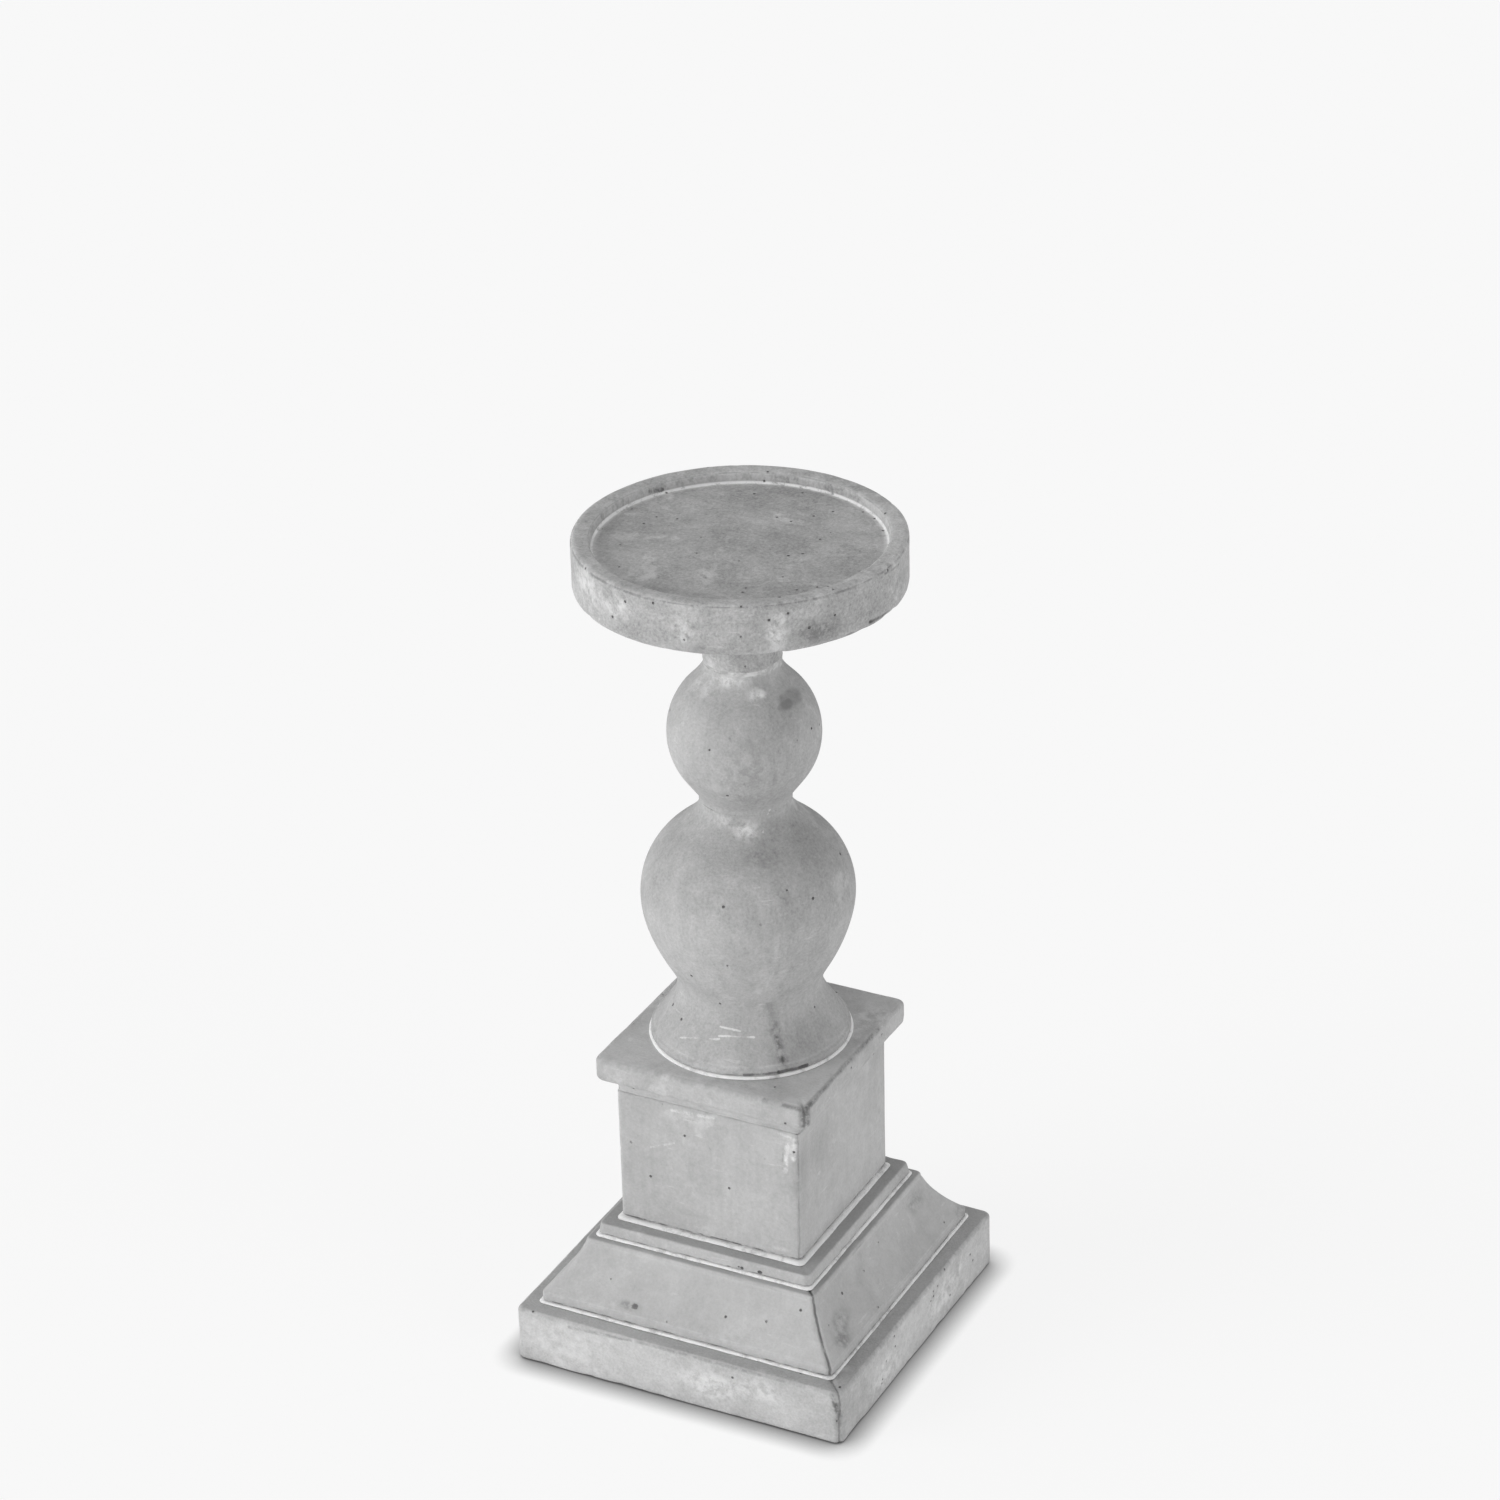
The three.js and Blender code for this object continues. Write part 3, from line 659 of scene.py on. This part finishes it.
low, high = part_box("pedestal_die")
half, height = high[0] / mm, (high[2] - low[2]) / mm
outline = Outline(24, 0, step=10).to(half - 0.8, 0)
outline.step = 1.3
outline.to(half - 0.6, 0.5).to(half, 1.1).to(half, height - 0.5).to(half - 0.5, height)
outline.step = 12
outline.to(12, height)
bm = square_casting(outline, 2.0, ((bore, 0), (bore, height)), low[2], side_cuts=60)
weathered(bm, 4.0, swell=0.32, ripple=0.05, chips=1.0, seam=0.5, seam_width=0.7)
die_stone = cast_stone(
    "die_stone", 4.0, tone=0.115, mottle=0.75, patches=0.7, sandy=0.7, scrawl=0.2, seam=0.25,
    # The dark gap line at its foot is painted shadow in the joint above the bed.
    seam_width=0.7, rubbed=0.25, gaps=("square", (half - 0.3, low[2] / mm + 0.8, 0.7, 0.75)),
    marks=(
        ((38, -42, 115), (4.5, 3, 6), 0.4, 1.9),
        ((40, -42, 90), (3, 3, 30), -0.14, 1.9),
        ((42, -38, 100), (3, 4, 22), -0.12, 1.9),
        ((-8, -42, 117), (14, 3, 3), 0.25, 2.0),
        ((33, -42, 64.5), (4, 2, 1.2), 0.45, 1.4)),
    strokes=(
        ((33, -42, 120.8), (41, -42, 119.4), 0.8, 0.6, 1.4),
        ((40.4, -42, 119), (39.6, -42, 110), 1.2, 0.6, 1.6),
        ((36.8, -42, 116), (35.8, -42, 103), 1.2, 0.65, 1.6),
        ((34.9, -42, 114), (34.4, -42, 104), 0.5, -0.35, 1.5),
        ((-16, -42, 119.2), (3, -42, 120.2), 1.0, 0.45, 1.9),
        ((-26.5, -42, 98.3), (-15.6, -42, 103.2), 0.6, 0.5, 1.9)))
fitted(bm, "die", die_stone, "cast_stone", "pedestal_die")


# ---- Pedestal cap ----
# The moulded square cap on the die: a small cove, and a nosing with rounded edges.

low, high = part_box("pedestal_cap")
half, height = high[0] / mm, (high[2] - low[2]) / mm
cove, under_edge, top_edge, foot = 5.2, 2.8, 2.2, 42.0
outline = Outline(24, 0, step=12).to(foot - 1, 0)
outline.step = 0.9
outline.to(foot, 0).bend((foot + 0.4, 0.8 * cove), (half - under_edge, cove))
outline.arc((half - under_edge, cove + under_edge), under_edge, -90, 0, least=6)
outline.to(half, height - top_edge)
outline.arc((half - top_edge, height - top_edge), top_edge, 0, 90, least=7)
outline.to(half - top_edge - 6, height)
outline.step = 4
outline.to(12, height)
bm = square_casting(outline, 3.5, ((bore, 0), (bore, height)), low[2], side_cuts=60)
weathered(bm, 5.0, swell=0.4, ripple=0.08, chips=0.8, seam=0.9, seam_width=1.2, seam_from=44)
# The cap's level top gets painted light.
cap_stone = cast_stone(
    "cap_stone", 5.0, tone=0.06, mottle=0.95, patches=0.9, sandy=0.6, brushed=0.15, seam=0.6,
    seam_width=1.2, seam_from=44, rubbed=0.1, grimy=0.15, painted_ledge_shading=-0.22,
    marks=(
        ((48.5, -47.5, 135), (3.5, 3.5, 9), -0.6, 1.6),
        ((20, -40, 140), (26, 8, 2), -0.2, 1.5),
        ((42, 30, 140), (9, 12, 2), 0.3, 1.9)),
    strokes=(
        ((48.5, -46, 139), (48.5, -34, 139.4), 1.5, -0.6, 1.5),
        ((48.5, -34, 139.4), (48.5, 22, 139.6), 1.1, -0.5, 1.9),
        ((30, -48.5, 139.4), (47, -48.5, 139), 1.2, -0.4, 1.9),
        # This stroke, under the nosing on the right face, is painted shadow.
        ((47.5, -30, 127.5), (47.5, -8, 127.5), 0.8, -0.4, 1.5)))
fitted(bm, "cap", cap_stone, "cast_stone", "pedestal_cap")

# Its own bed is wiped back into the joint, and takes the colour of the cap.
low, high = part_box("mortar_cap_die")
reach, thickness, recess = high[0] / mm, (high[2] - low[2]) / mm, 0.35
outline = Outline(12, -0.25, step=10).to(reach - recess, -0.25)
outline.to(reach - recess, thickness + 0.25).to(12, thickness + 0.25)
bm = square_casting(outline, 1.6, ((bore, -0.25), (bore, thickness + 0.25)), low[2])
struck(bm, 5.3, 0.12)
fitted(bm, "bed_cap_die", cap_stone, "mortar", "mortar_cap_die")


# ---- Turned vase ----
# The lower turned piece, run up to a template while the mix was soft: a round foot, a
# neck, a full belly, and a shoulder that closes in to the waist.

bed_low, bed_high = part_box("mortar_vase_cap")
reach, thickness = bed_high[0] / mm - bead, (bed_high[2] - bed_low[2]) / mm
bm = turned(bead_outline(reach, bead, thickness), 300, bed_low[2])
struck(bm, 7.1, 0.08)
fitted(bm, "bed_vase_cap", pale_mortar, "mortar", "mortar_vase_cap")

low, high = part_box("baluster_vase")
height = (high[2] - low[2]) / mm
foot_radius, foot_lip, foot_edge = 41.6, 2.0, 1.5
neck_radius, neck_height = 30.1, 22.9
belly_radius, belly_rise = 44.2, 41.5
shoulder_radius, shoulder_fillet, waist_radius = 37.9, 10.5, 19.0
shoulder_centre = belly_radius - shoulder_radius
shoulder_turn = math.acos((waist_radius + shoulder_fillet - shoulder_centre) / shoulder_radius)
belly_height = neck_height + belly_rise
shoulder_corner = (belly_height + shoulder_radius * math.sin(shoulder_turn)
                   + shoulder_fillet / math.tan(shoulder_turn))
flare, neck_drop = foot_radius - foot_edge - neck_radius, neck_height - foot_lip - foot_edge
belly_swell = belly_radius - neck_radius
outline = Outline(bore, 0, step=4).to(foot_radius - 0.4, 0)
outline.step = 1.1
outline.to(foot_radius, 0.4).to(foot_radius, foot_lip)
outline.bend((foot_radius, foot_lip + 0.8), (foot_radius - foot_edge, foot_lip + foot_edge))
outline.sweep(
    (neck_radius + 0.64 * flare, foot_lip + foot_edge + 0.31 * neck_drop),
    (neck_radius, foot_lip + foot_edge + 0.67 * neck_drop), (neck_radius, neck_height))
outline.sweep(
    (neck_radius, neck_height + 0.11 * belly_rise),
    (neck_radius + 0.14 * belly_swell, neck_height + 0.18 * belly_rise),
    (neck_radius + 0.31 * belly_swell, neck_height + 0.28 * belly_rise))
outline.sweep(
    (neck_radius + 0.6 * belly_swell, neck_height + 0.45 * belly_rise),
    (belly_radius, neck_height + 0.74 * belly_rise), (belly_radius, belly_height))
outline.arc((shoulder_centre, belly_height), shoulder_radius, 0, math.degrees(shoulder_turn))
outline.bend((waist_radius, shoulder_corner), (waist_radius, height))
outline.step = 5
outline.to(bore, height)
bm = turned(outline, 220, low[2])
turned_seed = 6.0
weathered(bm, turned_seed, swell=0.3, ripple=0.05, chips=0.8, seam=0.1, seam_width=0.9)
turned_stone = cast_stone(
    "turned_stone", turned_seed, tone=0.0, mottle=0.8, patches=0.6, sandy=1.0, scrawl=0.3,
    far_half=0.09, rubbed=0.2, marks=(
        ((36, -12, 150), (14, 18, 12), -0.16, 1.2),
        ((28, -28, 150), (5, 5, 12), -0.25, 1.9),
        ((9.5, -18.5, 243.5), (6, 6, 4), 0.6, 1.6),
        ((2, -19.5, 246.5), (11, 6, 3), 0.3, 1.8),
        ((17, -24, 234), (8, 8, 8), -0.25, 1.9),
        ((12, -26, 276), (14, 12, 24), -0.22, 1.9),
        ((4, -22, 260), (26, 16, 8), -0.14, 1.3),
        ((3, -15, 308.5), (9, 6, 2.4), 0.6, 1.7),
        ((12.5, -15, 304.5), (2.6, 4, 3), 0.5, 1.7),
        ((-8, -16, 305), (10, 8, 6), 0.3, 1.9),
        ((14.6, -12.5, 303.5), (2.2, 2.4, 2.6), 0.7, 1.2)),
    strokes=(
        ((-18, -33.5, 149), (2.6, -34, 153.4), 0.55, 0.6, 0.8),
        ((2.3, -33.4, 154.6), (16, -29, 155), 0.5, 0.75, 0.6),
        ((2, -31.8, 158), (10.4, -30.3, 157.2), 0.45, 0.7, 0.6),
        ((20, -22.6, 168), (22.8, -23.1, 156.4), 3.0, -0.25, 1.9),
        ((22.8, -23.1, 156.4), (29, -27.9, 144.4), 2.2, -0.35, 1.9),
        ((24, -24, 154), (29, -27.9, 144.4), 0.7, -0.5, 1.7),
        ((8, -28, 290), (14, -27, 268), 0.6, -0.35, 1.8),
        ((12, -40, 205), (19, -34, 180), 3.0, -0.16, 1.9),
        ((20, -36, 222), (28, -34, 190), 2.5, -0.16, 1.9),
        # These two dark strokes along the bottom of the foot, on the right, are painted shadow in
        # the joint above the bed.
        ((16, -38.5, 142.2), (28, -31, 142.3), 0.6, -0.7, 0.8),
        ((28, -31, 142.3), (36, -21, 142.2), 0.8, -0.9, 0.5),
        ((16.3, -10.5, 251), (15.3, -15, 243), 0.5, 0.6, 0.8),
        ((17.2, -10.3, 250.5), (16.3, -14.6, 243), 0.5, -0.45, 1.0),
        ((6, -20, 250), (10.5, -18, 242.5), 0.5, 0.4, 1.4),
        ((21.6, -10.5, 297.8), (23.4, -6, 298.8), 1.8, -0.32, 0.15),
        ((22.8, -7, 299.6), (24, -0.5, 300), 3.4, -0.32, 0.2)))
fitted(bm, "vase", turned_stone, "cast_stone", "baluster_vase")


# ---- Turned ball ----
# The upper turned piece, bedded on the waist of the vase with slurry wiped round the joint.

def slurry_ring(name, reach, tall, seed, rough, finish):
    """A band of slurry wiped over a joint between two turned pieces of the same reach."""
    bed_low, bed_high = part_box(name)
    thickness = (bed_high[2] - bed_low[2]) / mm
    outline = Outline(bore, -0.25, step=3).to(reach - 0.8, -0.25)
    outline.step = 0.4
    outline.to(reach - 0.5, -tall).to(reach + 0.04, 0.2 - tall)
    outline.to(reach + 0.04, thickness + tall - 0.2).to(reach - 0.5, thickness + tall)
    outline.to(reach - 0.8, thickness + 0.25)
    outline.step = 3
    bm = turned(outline.to(bore, thickness + 0.25), 200, bed_low[2])
    struck(bm, seed, rough)
    fitted(bm, name.replace("mortar", "bed"), finish, "mortar", name)


slurry = Finish("wiped_slurry")
smears = slurry.noise(slurry.place, 0.012, detail=6, roughness=0.68, warp=0.8)
dabs = slurry.noise(slurry.place, 0.0022, detail=4, roughness=0.7)
slurry.shader.inputs["Specular IOR Level"].default_value = 0.25
wiped_slurry = slurry.wear(
    slurry.mix((smears * 0.9 + dabs * 0.3).from_to(0.52, 0.72), grey(0.4), grey(0.66)),
    0.86 + dabs * 0.1, slurry.bump(smears * 0.5 + dabs * 0.5, 0.0006, 0.9))

slurry_ring("mortar_ball_vase", waist_radius, 0.6, 8.2, 0.06, turned_stone)

low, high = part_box("baluster_ball")
height = (high[2] - low[2]) / mm
ball_radius, ball_rise, neck_radius = 31.4, 29.325, 15.8
waist_fillet, neck_fillet, taper = 1.4, 6.7, math.radians(36)
taper_reach = ball_radius * math.cos(taper)
taper_height = ball_rise - ball_radius * math.sin(taper)
taper_foot = taper_height - (taper_reach - waist_radius) / math.tan(taper)
neck_turn = math.acos((neck_radius + neck_fillet) / ball_radius)
neck_foot = (ball_rise + ball_radius * math.sin(neck_turn)
             + neck_fillet / math.tan(neck_turn))
outline = Outline(bore, 0, step=4).to(waist_radius, 0)
outline.step = 1.0
outline.bend((waist_radius, taper_foot),
             (waist_radius + waist_fillet, taper_foot + waist_fillet / math.tan(taper)))
outline.to(taper_reach, taper_height)
outline.arc((0, ball_rise), ball_radius, -math.degrees(taper), math.degrees(neck_turn))
outline.bend((neck_radius, neck_foot), (neck_radius, height))
outline.step = 4
outline.to(bore, height)
bm = turned(outline, 200, low[2])
weathered(bm, turned_seed, swell=0.3, ripple=0.05, chips=0.8, seam=0.1, seam_width=0.9)
fitted(bm, "ball", turned_stone, "cast_stone", "baluster_ball")


# ---- Candle dish ----
# The shallow round dish for one pillar candle, cast with its collar and cavetto in one
# piece. The rim is flat on top, and lime has settled where it meets the floor.

slurry_ring("mortar_dish_ball", neck_radius, 1.6, 9.4, 0.35, wiped_slurry)

low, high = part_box("candle_dish")
height = (high[2] - low[2]) / mm
socket_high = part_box("threaded_socket")[1]
clearance, flange_thickness, tube_radius = 0.3, 3.0, 7.0
flange_radius, flange_top = socket_high[0] / mm, (socket_high[2] - low[2]) / mm
collar_radius, collar_height, cavetto = 16.0, 11.4, 21.0
dish_radius, floor_radius, recess = high[0] / mm, 58.4, 5.0
under_edge, rim_edge, rim_foot = 2.4, 2.4, 0.7
underside = collar_height + cavetto
outline = Outline(0, flange_top + clearance, step=4)
outline.to(flange_radius + clearance, flange_top + clearance)
outline.to(flange_radius + clearance, flange_top - flange_thickness - clearance)
outline.to(tube_radius + clearance, flange_top - flange_thickness - clearance)
outline.to(tube_radius + clearance, 0).to(collar_radius - 0.6, 0)
outline.step = 1.0
outline.arc((collar_radius - 0.6, 0.6), 0.6, -90, 0, least=3).to(collar_radius, collar_height)
outline.arc((collar_radius + cavetto, collar_height), cavetto, 180, 90)
outline.to(dish_radius - under_edge, underside)
outline.arc((dish_radius - under_edge, underside + under_edge), under_edge, -90, 0)
outline.to(dish_radius, height - rim_edge)
outline.step = 0.6
outline.bend((dish_radius, height), (dish_radius - rim_edge, height))
outline.to(floor_radius + 2.4, height - 0.35)
outline.bend((floor_radius + 1.1, height - 0.4), (floor_radius + 0.9, height - 1.7))
outline.to(floor_radius + 0.5, height - recess + rim_foot)
outline.bend((floor_radius + 0.4, height - recess), (floor_radius - 0.5, height - recess))
outline.step = 1.5
outline.to(0, height - recess)
bm = turned(outline, 300, low[2], closed=False)
weathered(bm, 8.0, swell=0.26, ripple=0.06, chips=1.0)
rim_top = high[2] / mm
rim_line = ("round", (dish_radius - 0.6, rim_top - 1.1, 0.6, 0.4),
            (floor_radius + 1.4, rim_top - 2.2, 2.2, -0.3),
            (floor_radius + 1.2, rim_top - 0.6, 0.5, 0.25),
            (dish_radius - under_edge, low[2] / mm + underside, 0.6, 0.4))
dish_stone = cast_stone(
    "dish_stone", 8.0, tone=-0.05, mottle=1.15, patches=1.1, sandy=1.1, brushed=0.25,
    brush_turn=math.radians(-27), scrawl=0.12, lime=0.95, pitted=0.45, rubbed=0.2,
    gaps=rim_line, marks=(
        ((0, 0, rim_top + 0.5), (200, 200, 2.2), 0.16, 1.1),
        ((-40, -54, 358), (14, 10, 9), 0.4, 1.6),
        ((-22, -63, 357), (10, 6, 7), 0.35, 1.8),
        ((9.6, -66, 355), (7, 5, 12), 0.35, 1.9),
        ((42, -52, 354), (5, 5, 9), 0.55, 1.8),
        ((48, -46, 360), (12, 12, 3), 0.2, 1.9),
        ((54, -38, 352), (12, 13, 6), -0.4, 1.9),
        ((16, -65, 347), (12, 5, 4), -0.25, 1.8)),
    strokes=(
        # These three soft dark strokes along the near edge of the floor are the rim's shadow,
        # painted on the floor.
        ((-54, -20, 361), (-30, -49, 361), 5.5, -0.14, 1.2),
        ((-30, -49, 361), (30, -49, 361), 5.0, -0.16, 1.2),
        ((30, -49, 361), (52, -22, 361), 3.5, -0.14, 1.4),
        ((-54.5, 25.5, 363.6), (-51, 30.7, 363), 1.1, -0.9, 0.8),
        ((66.3, -7, 364.2), (66.8, 5, 363), 0.7, -0.6, 1.3),
        ((64.6, -17, 347.4), (66.7, -4, 346.4), 1.0, -0.8, 1.1),
        ((60, -30, 346), (65, -14, 346), 0.7, -0.4, 1.6)))
fitted(bm, "dish", dish_stone, "cast_stone", "candle_dish")


# ---- Tie rod and its fittings ----
# A zinc-plated steel rod holds the stack together. It screws into a socket cast in the
# dish, and a nut on a washer draws it tight in the pocket under the plinth.

zinc = Finish("zinc_steel")
plating = zinc.noise(zinc.place, 0.006, detail=4, roughness=0.6)
spangle = zinc.noise(zinc.place, 0.0018, detail=3, roughness=0.6)
drawn = zinc.noise(zinc.shifted(stretch=(1, 1, 0.08)), 0.0008, detail=4)
zinc.shader.inputs["Metallic"].default_value = 1.0
zinc_steel = zinc.wear(
    zinc.mix((plating * 0.6 + spangle * 0.4).from_to(0.35, 0.65), grey(0.42), grey(0.62)),
    plating * 0.25 + drawn * 0.1 + 0.22, zinc.bump(drawn * 0.5 + spangle * 0.5, 0.0001, 0.6))

low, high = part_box("tie_rod")
rod_radius, rod_length = high[0] / mm, (high[2] - low[2]) / mm
pitch, thread_depth, tip = 1.25, 0.62, 0.9
nut_thread, socket_thread = 24.0, 30.0
outline = Outline(0, 0, step=2).to(rod_radius - tip, 0).to(rod_radius, tip)
outline.step = pitch / 8
outline.to(rod_radius, nut_thread)
outline.step = 8
outline.to(rod_radius, rod_length - socket_thread)
outline.step = pitch / 8
outline.to(rod_radius, rod_length - tip)
outline.step = 2
outline.to(rod_radius - tip, rod_length).to(0, rod_length)
bm = turned(outline, 32, low[2], closed=False)
for vert in bm.verts:
    up = (vert.co.z - low[2]) / mm
    threaded = up <= nut_thread or up >= rod_length - socket_thread
    if threaded and vert.co.xy.length > (rod_radius - 0.6 * tip) * mm:
        turn = math.atan2(vert.co.y, vert.co.x) / (2 * math.pi)
        groove = 2 * abs((up / pitch - turn) % 1.0 - 0.5)
        vert.co.xy *= 1 - thread_depth * groove / rod_radius
fitted(bm, "rod", zinc_steel, "zinc_steel", "tie_rod")

low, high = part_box("threaded_socket")
tube_height = (high[2] - low[2]) / mm
hole_radius, soft_edge = rod_radius + clearance, 0.4
outline = Outline(hole_radius, soft_edge, step=2).to(hole_radius + soft_edge, 0)
outline.to(tube_radius - soft_edge, 0).to(tube_radius, soft_edge)
outline.to(tube_radius, tube_height - flange_thickness)
outline.to(flange_radius - soft_edge, tube_height - flange_thickness)
outline.to(flange_radius, tube_height - flange_thickness + soft_edge)
outline.to(flange_radius, tube_height - soft_edge).to(flange_radius - soft_edge, tube_height)
outline.to(hole_radius, tube_height)
fitted(turned(outline, 48, low[2]), "socket", zinc_steel, "zinc_steel", "threaded_socket")

low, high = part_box("rod_washer")
washer_radius, thickness = high[0] / mm, (high[2] - low[2]) / mm
outline = Outline(hole_radius, 0.2, step=2).to(hole_radius + 0.2, 0)
outline.to(washer_radius - soft_edge, 0).arc(
    (washer_radius - soft_edge, soft_edge), soft_edge, -90, 0, least=3)
outline.to(washer_radius, thickness - soft_edge).arc(
    (washer_radius - soft_edge, thickness - soft_edge), soft_edge, 0, 90, least=3)
outline.to(hole_radius, thickness)
fitted(turned(outline, 64, low[2]), "washer", zinc_steel, "zinc_steel", "rod_washer")

low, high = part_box("rod_nut")
nut_height, across_flats = (high[2] - low[2]) / mm, 13.0
crown = 0.95 * across_flats / 2
corner_radius = across_flats / 2 / math.cos(math.pi / 6)
chamfer = (corner_radius - crown) * math.tan(math.radians(30))
bm = bmesh.new()
ring = bmesh.ops.create_circle(
    bm, segments=6, radius=corner_radius, matrix=Matrix.Rotation(math.pi / 6, 4, "Z"))
bmesh.ops.subdivide_edges(bm, edges=bm.edges[:], cuts=5)
hexagon = bm.edges[:]
sides = len(hexagon)
flanks = bmesh.ops.extrude_edge_only(bm, edges=hexagon)["geom"]
upper = [item for item in flanks if isinstance(item, bmesh.types.BMVert)]
bmesh.ops.translate(bm, verts=upper, vec=(0, 0, nut_height))
top_hexagon = [edge for edge in bm.edges if all(vert in upper for vert in edge.verts)]
rings = []
for radius, level in ((crown, 0), (hole_radius, 0), (hole_radius, nut_height), (crown, nut_height)):
    circle = bmesh.ops.create_circle(
        bm, segments=sides, radius=radius, matrix=Matrix.Translation((0, 0, level)))
    rings.append(list({edge for vert in circle["verts"] for edge in vert.link_edges}))
for one, other in ((hexagon, rings[0]), (rings[0], rings[1]), (rings[1], rings[2]),
                   (rings[2], rings[3]), (rings[3], top_hexagon)):
    bmesh.ops.bridge_loops(bm, edges=one + other)
for vert in bm.verts:
    spread = vert.co.xy.length - crown
    if spread > 0.01:
        drop = chamfer * spread / (corner_radius - crown)
        vert.co.z += drop if vert.co.z < nut_height / 2 else -drop
bmesh.ops.scale(bm, verts=bm.verts, vec=(mm, mm, mm))
bmesh.ops.translate(bm, verts=bm.verts, vec=(0, 0, low[2]))
nut = fitted(bm, "nut", zinc_steel, "zinc_steel", "rod_nut")
nut.data.shade_flat()


# ---- Studio ----
# A plain pale sweep that glows a little, with a contact shadow painted into its glow near the
# object, an even dome of light, a broad lamp on each side and one overhead. The camera looks
# down on the front corner of the base through a long lens.

bm = bmesh.new()
bmesh.ops.create_grid(bm, x_segments=1, y_segments=1, size=8)
floor_mesh = bpy.data.meshes.new("studio_floor")
bm.to_mesh(floor_mesh)
bm.free()
paper = Finish("pale_paper")
painted_contact_shadow = paper.node("AmbientOcclusion", {"samples": 16}, {"Distance": 12.5 * mm}, output=1)
paper.shader.inputs["Base Color"].default_value = grey(0.2)
paper.shader.inputs["Roughness"].default_value = 1.0
paper.shader.inputs["Specular IOR Level"].default_value = 0.0
paper.shader.inputs["Emission Strength"].default_value = 0.79
# The glow fades by ambient occlusion near the object: a painted contact shadow.
paper.feed(paper.shader.inputs["Emission Color"], paper.mix(
    painted_contact_shadow.maths("POWER", 2.1), grey(0.0), grey(1.0)))
floor_mesh.materials.append(paper.material)
floor = bpy.data.objects.new("studio_floor", floor_mesh)
bpy.context.scene.collection.objects.link(floor)


def lamp(name, azimuth, elevation, strength, softness):
    """A broad far lamp: degrees round from the front, degrees up, and its light."""
    light = bpy.data.lights.new(name, "SUN")
    light.energy = strength * math.pi
    light.angle = math.radians(softness)
    holder = bpy.data.objects.new(name, light)
    turn = Matrix.Rotation(math.radians(azimuth), 4, "Z")
    holder.matrix_world = turn @ Matrix.Rotation(math.radians(90 - elevation), 4, "X")
    bpy.context.scene.collection.objects.link(holder)


lamp("left_softbox", -45, 6, 0.85, 55)
lamp("right_softbox", 85, 6, 0.33, 55)
lamp("overhead_softbox", -90, 80, 0.17, 60)

studio = bpy.data.worlds.new("studio")
studio.use_nodes = True
studio.node_tree.nodes["Background"].inputs["Color"].default_value = (1, 1, 1, 1)
studio.node_tree.nodes["Background"].inputs["Strength"].default_value = 0.38
bpy.context.scene.world = studio
bpy.context.scene.view_settings.view_transform = "Standard"

azimuth, elevation, roll = math.radians(27.18), math.radians(27.29), math.radians(-1.33)
distance, aim = 1.9127, Vector((0.0019, 0.001, 0.2698))
camera = bpy.data.objects.new("camera", bpy.data.cameras.new("camera"))
camera.data.lens, camera.data.sensor_width = 113.8, 36
tripod = Matrix.Rotation(azimuth, 4, "Z") @ Matrix.Rotation(math.pi / 2 - elevation, 4, "X")
camera.matrix_world = (Matrix.Translation(aim + tripod @ Vector((0, 0, distance)))
                       @ tripod @ Matrix.Rotation(roll, 4, "Z"))
bpy.context.scene.collection.objects.link(camera)
bpy.context.scene.camera = camera
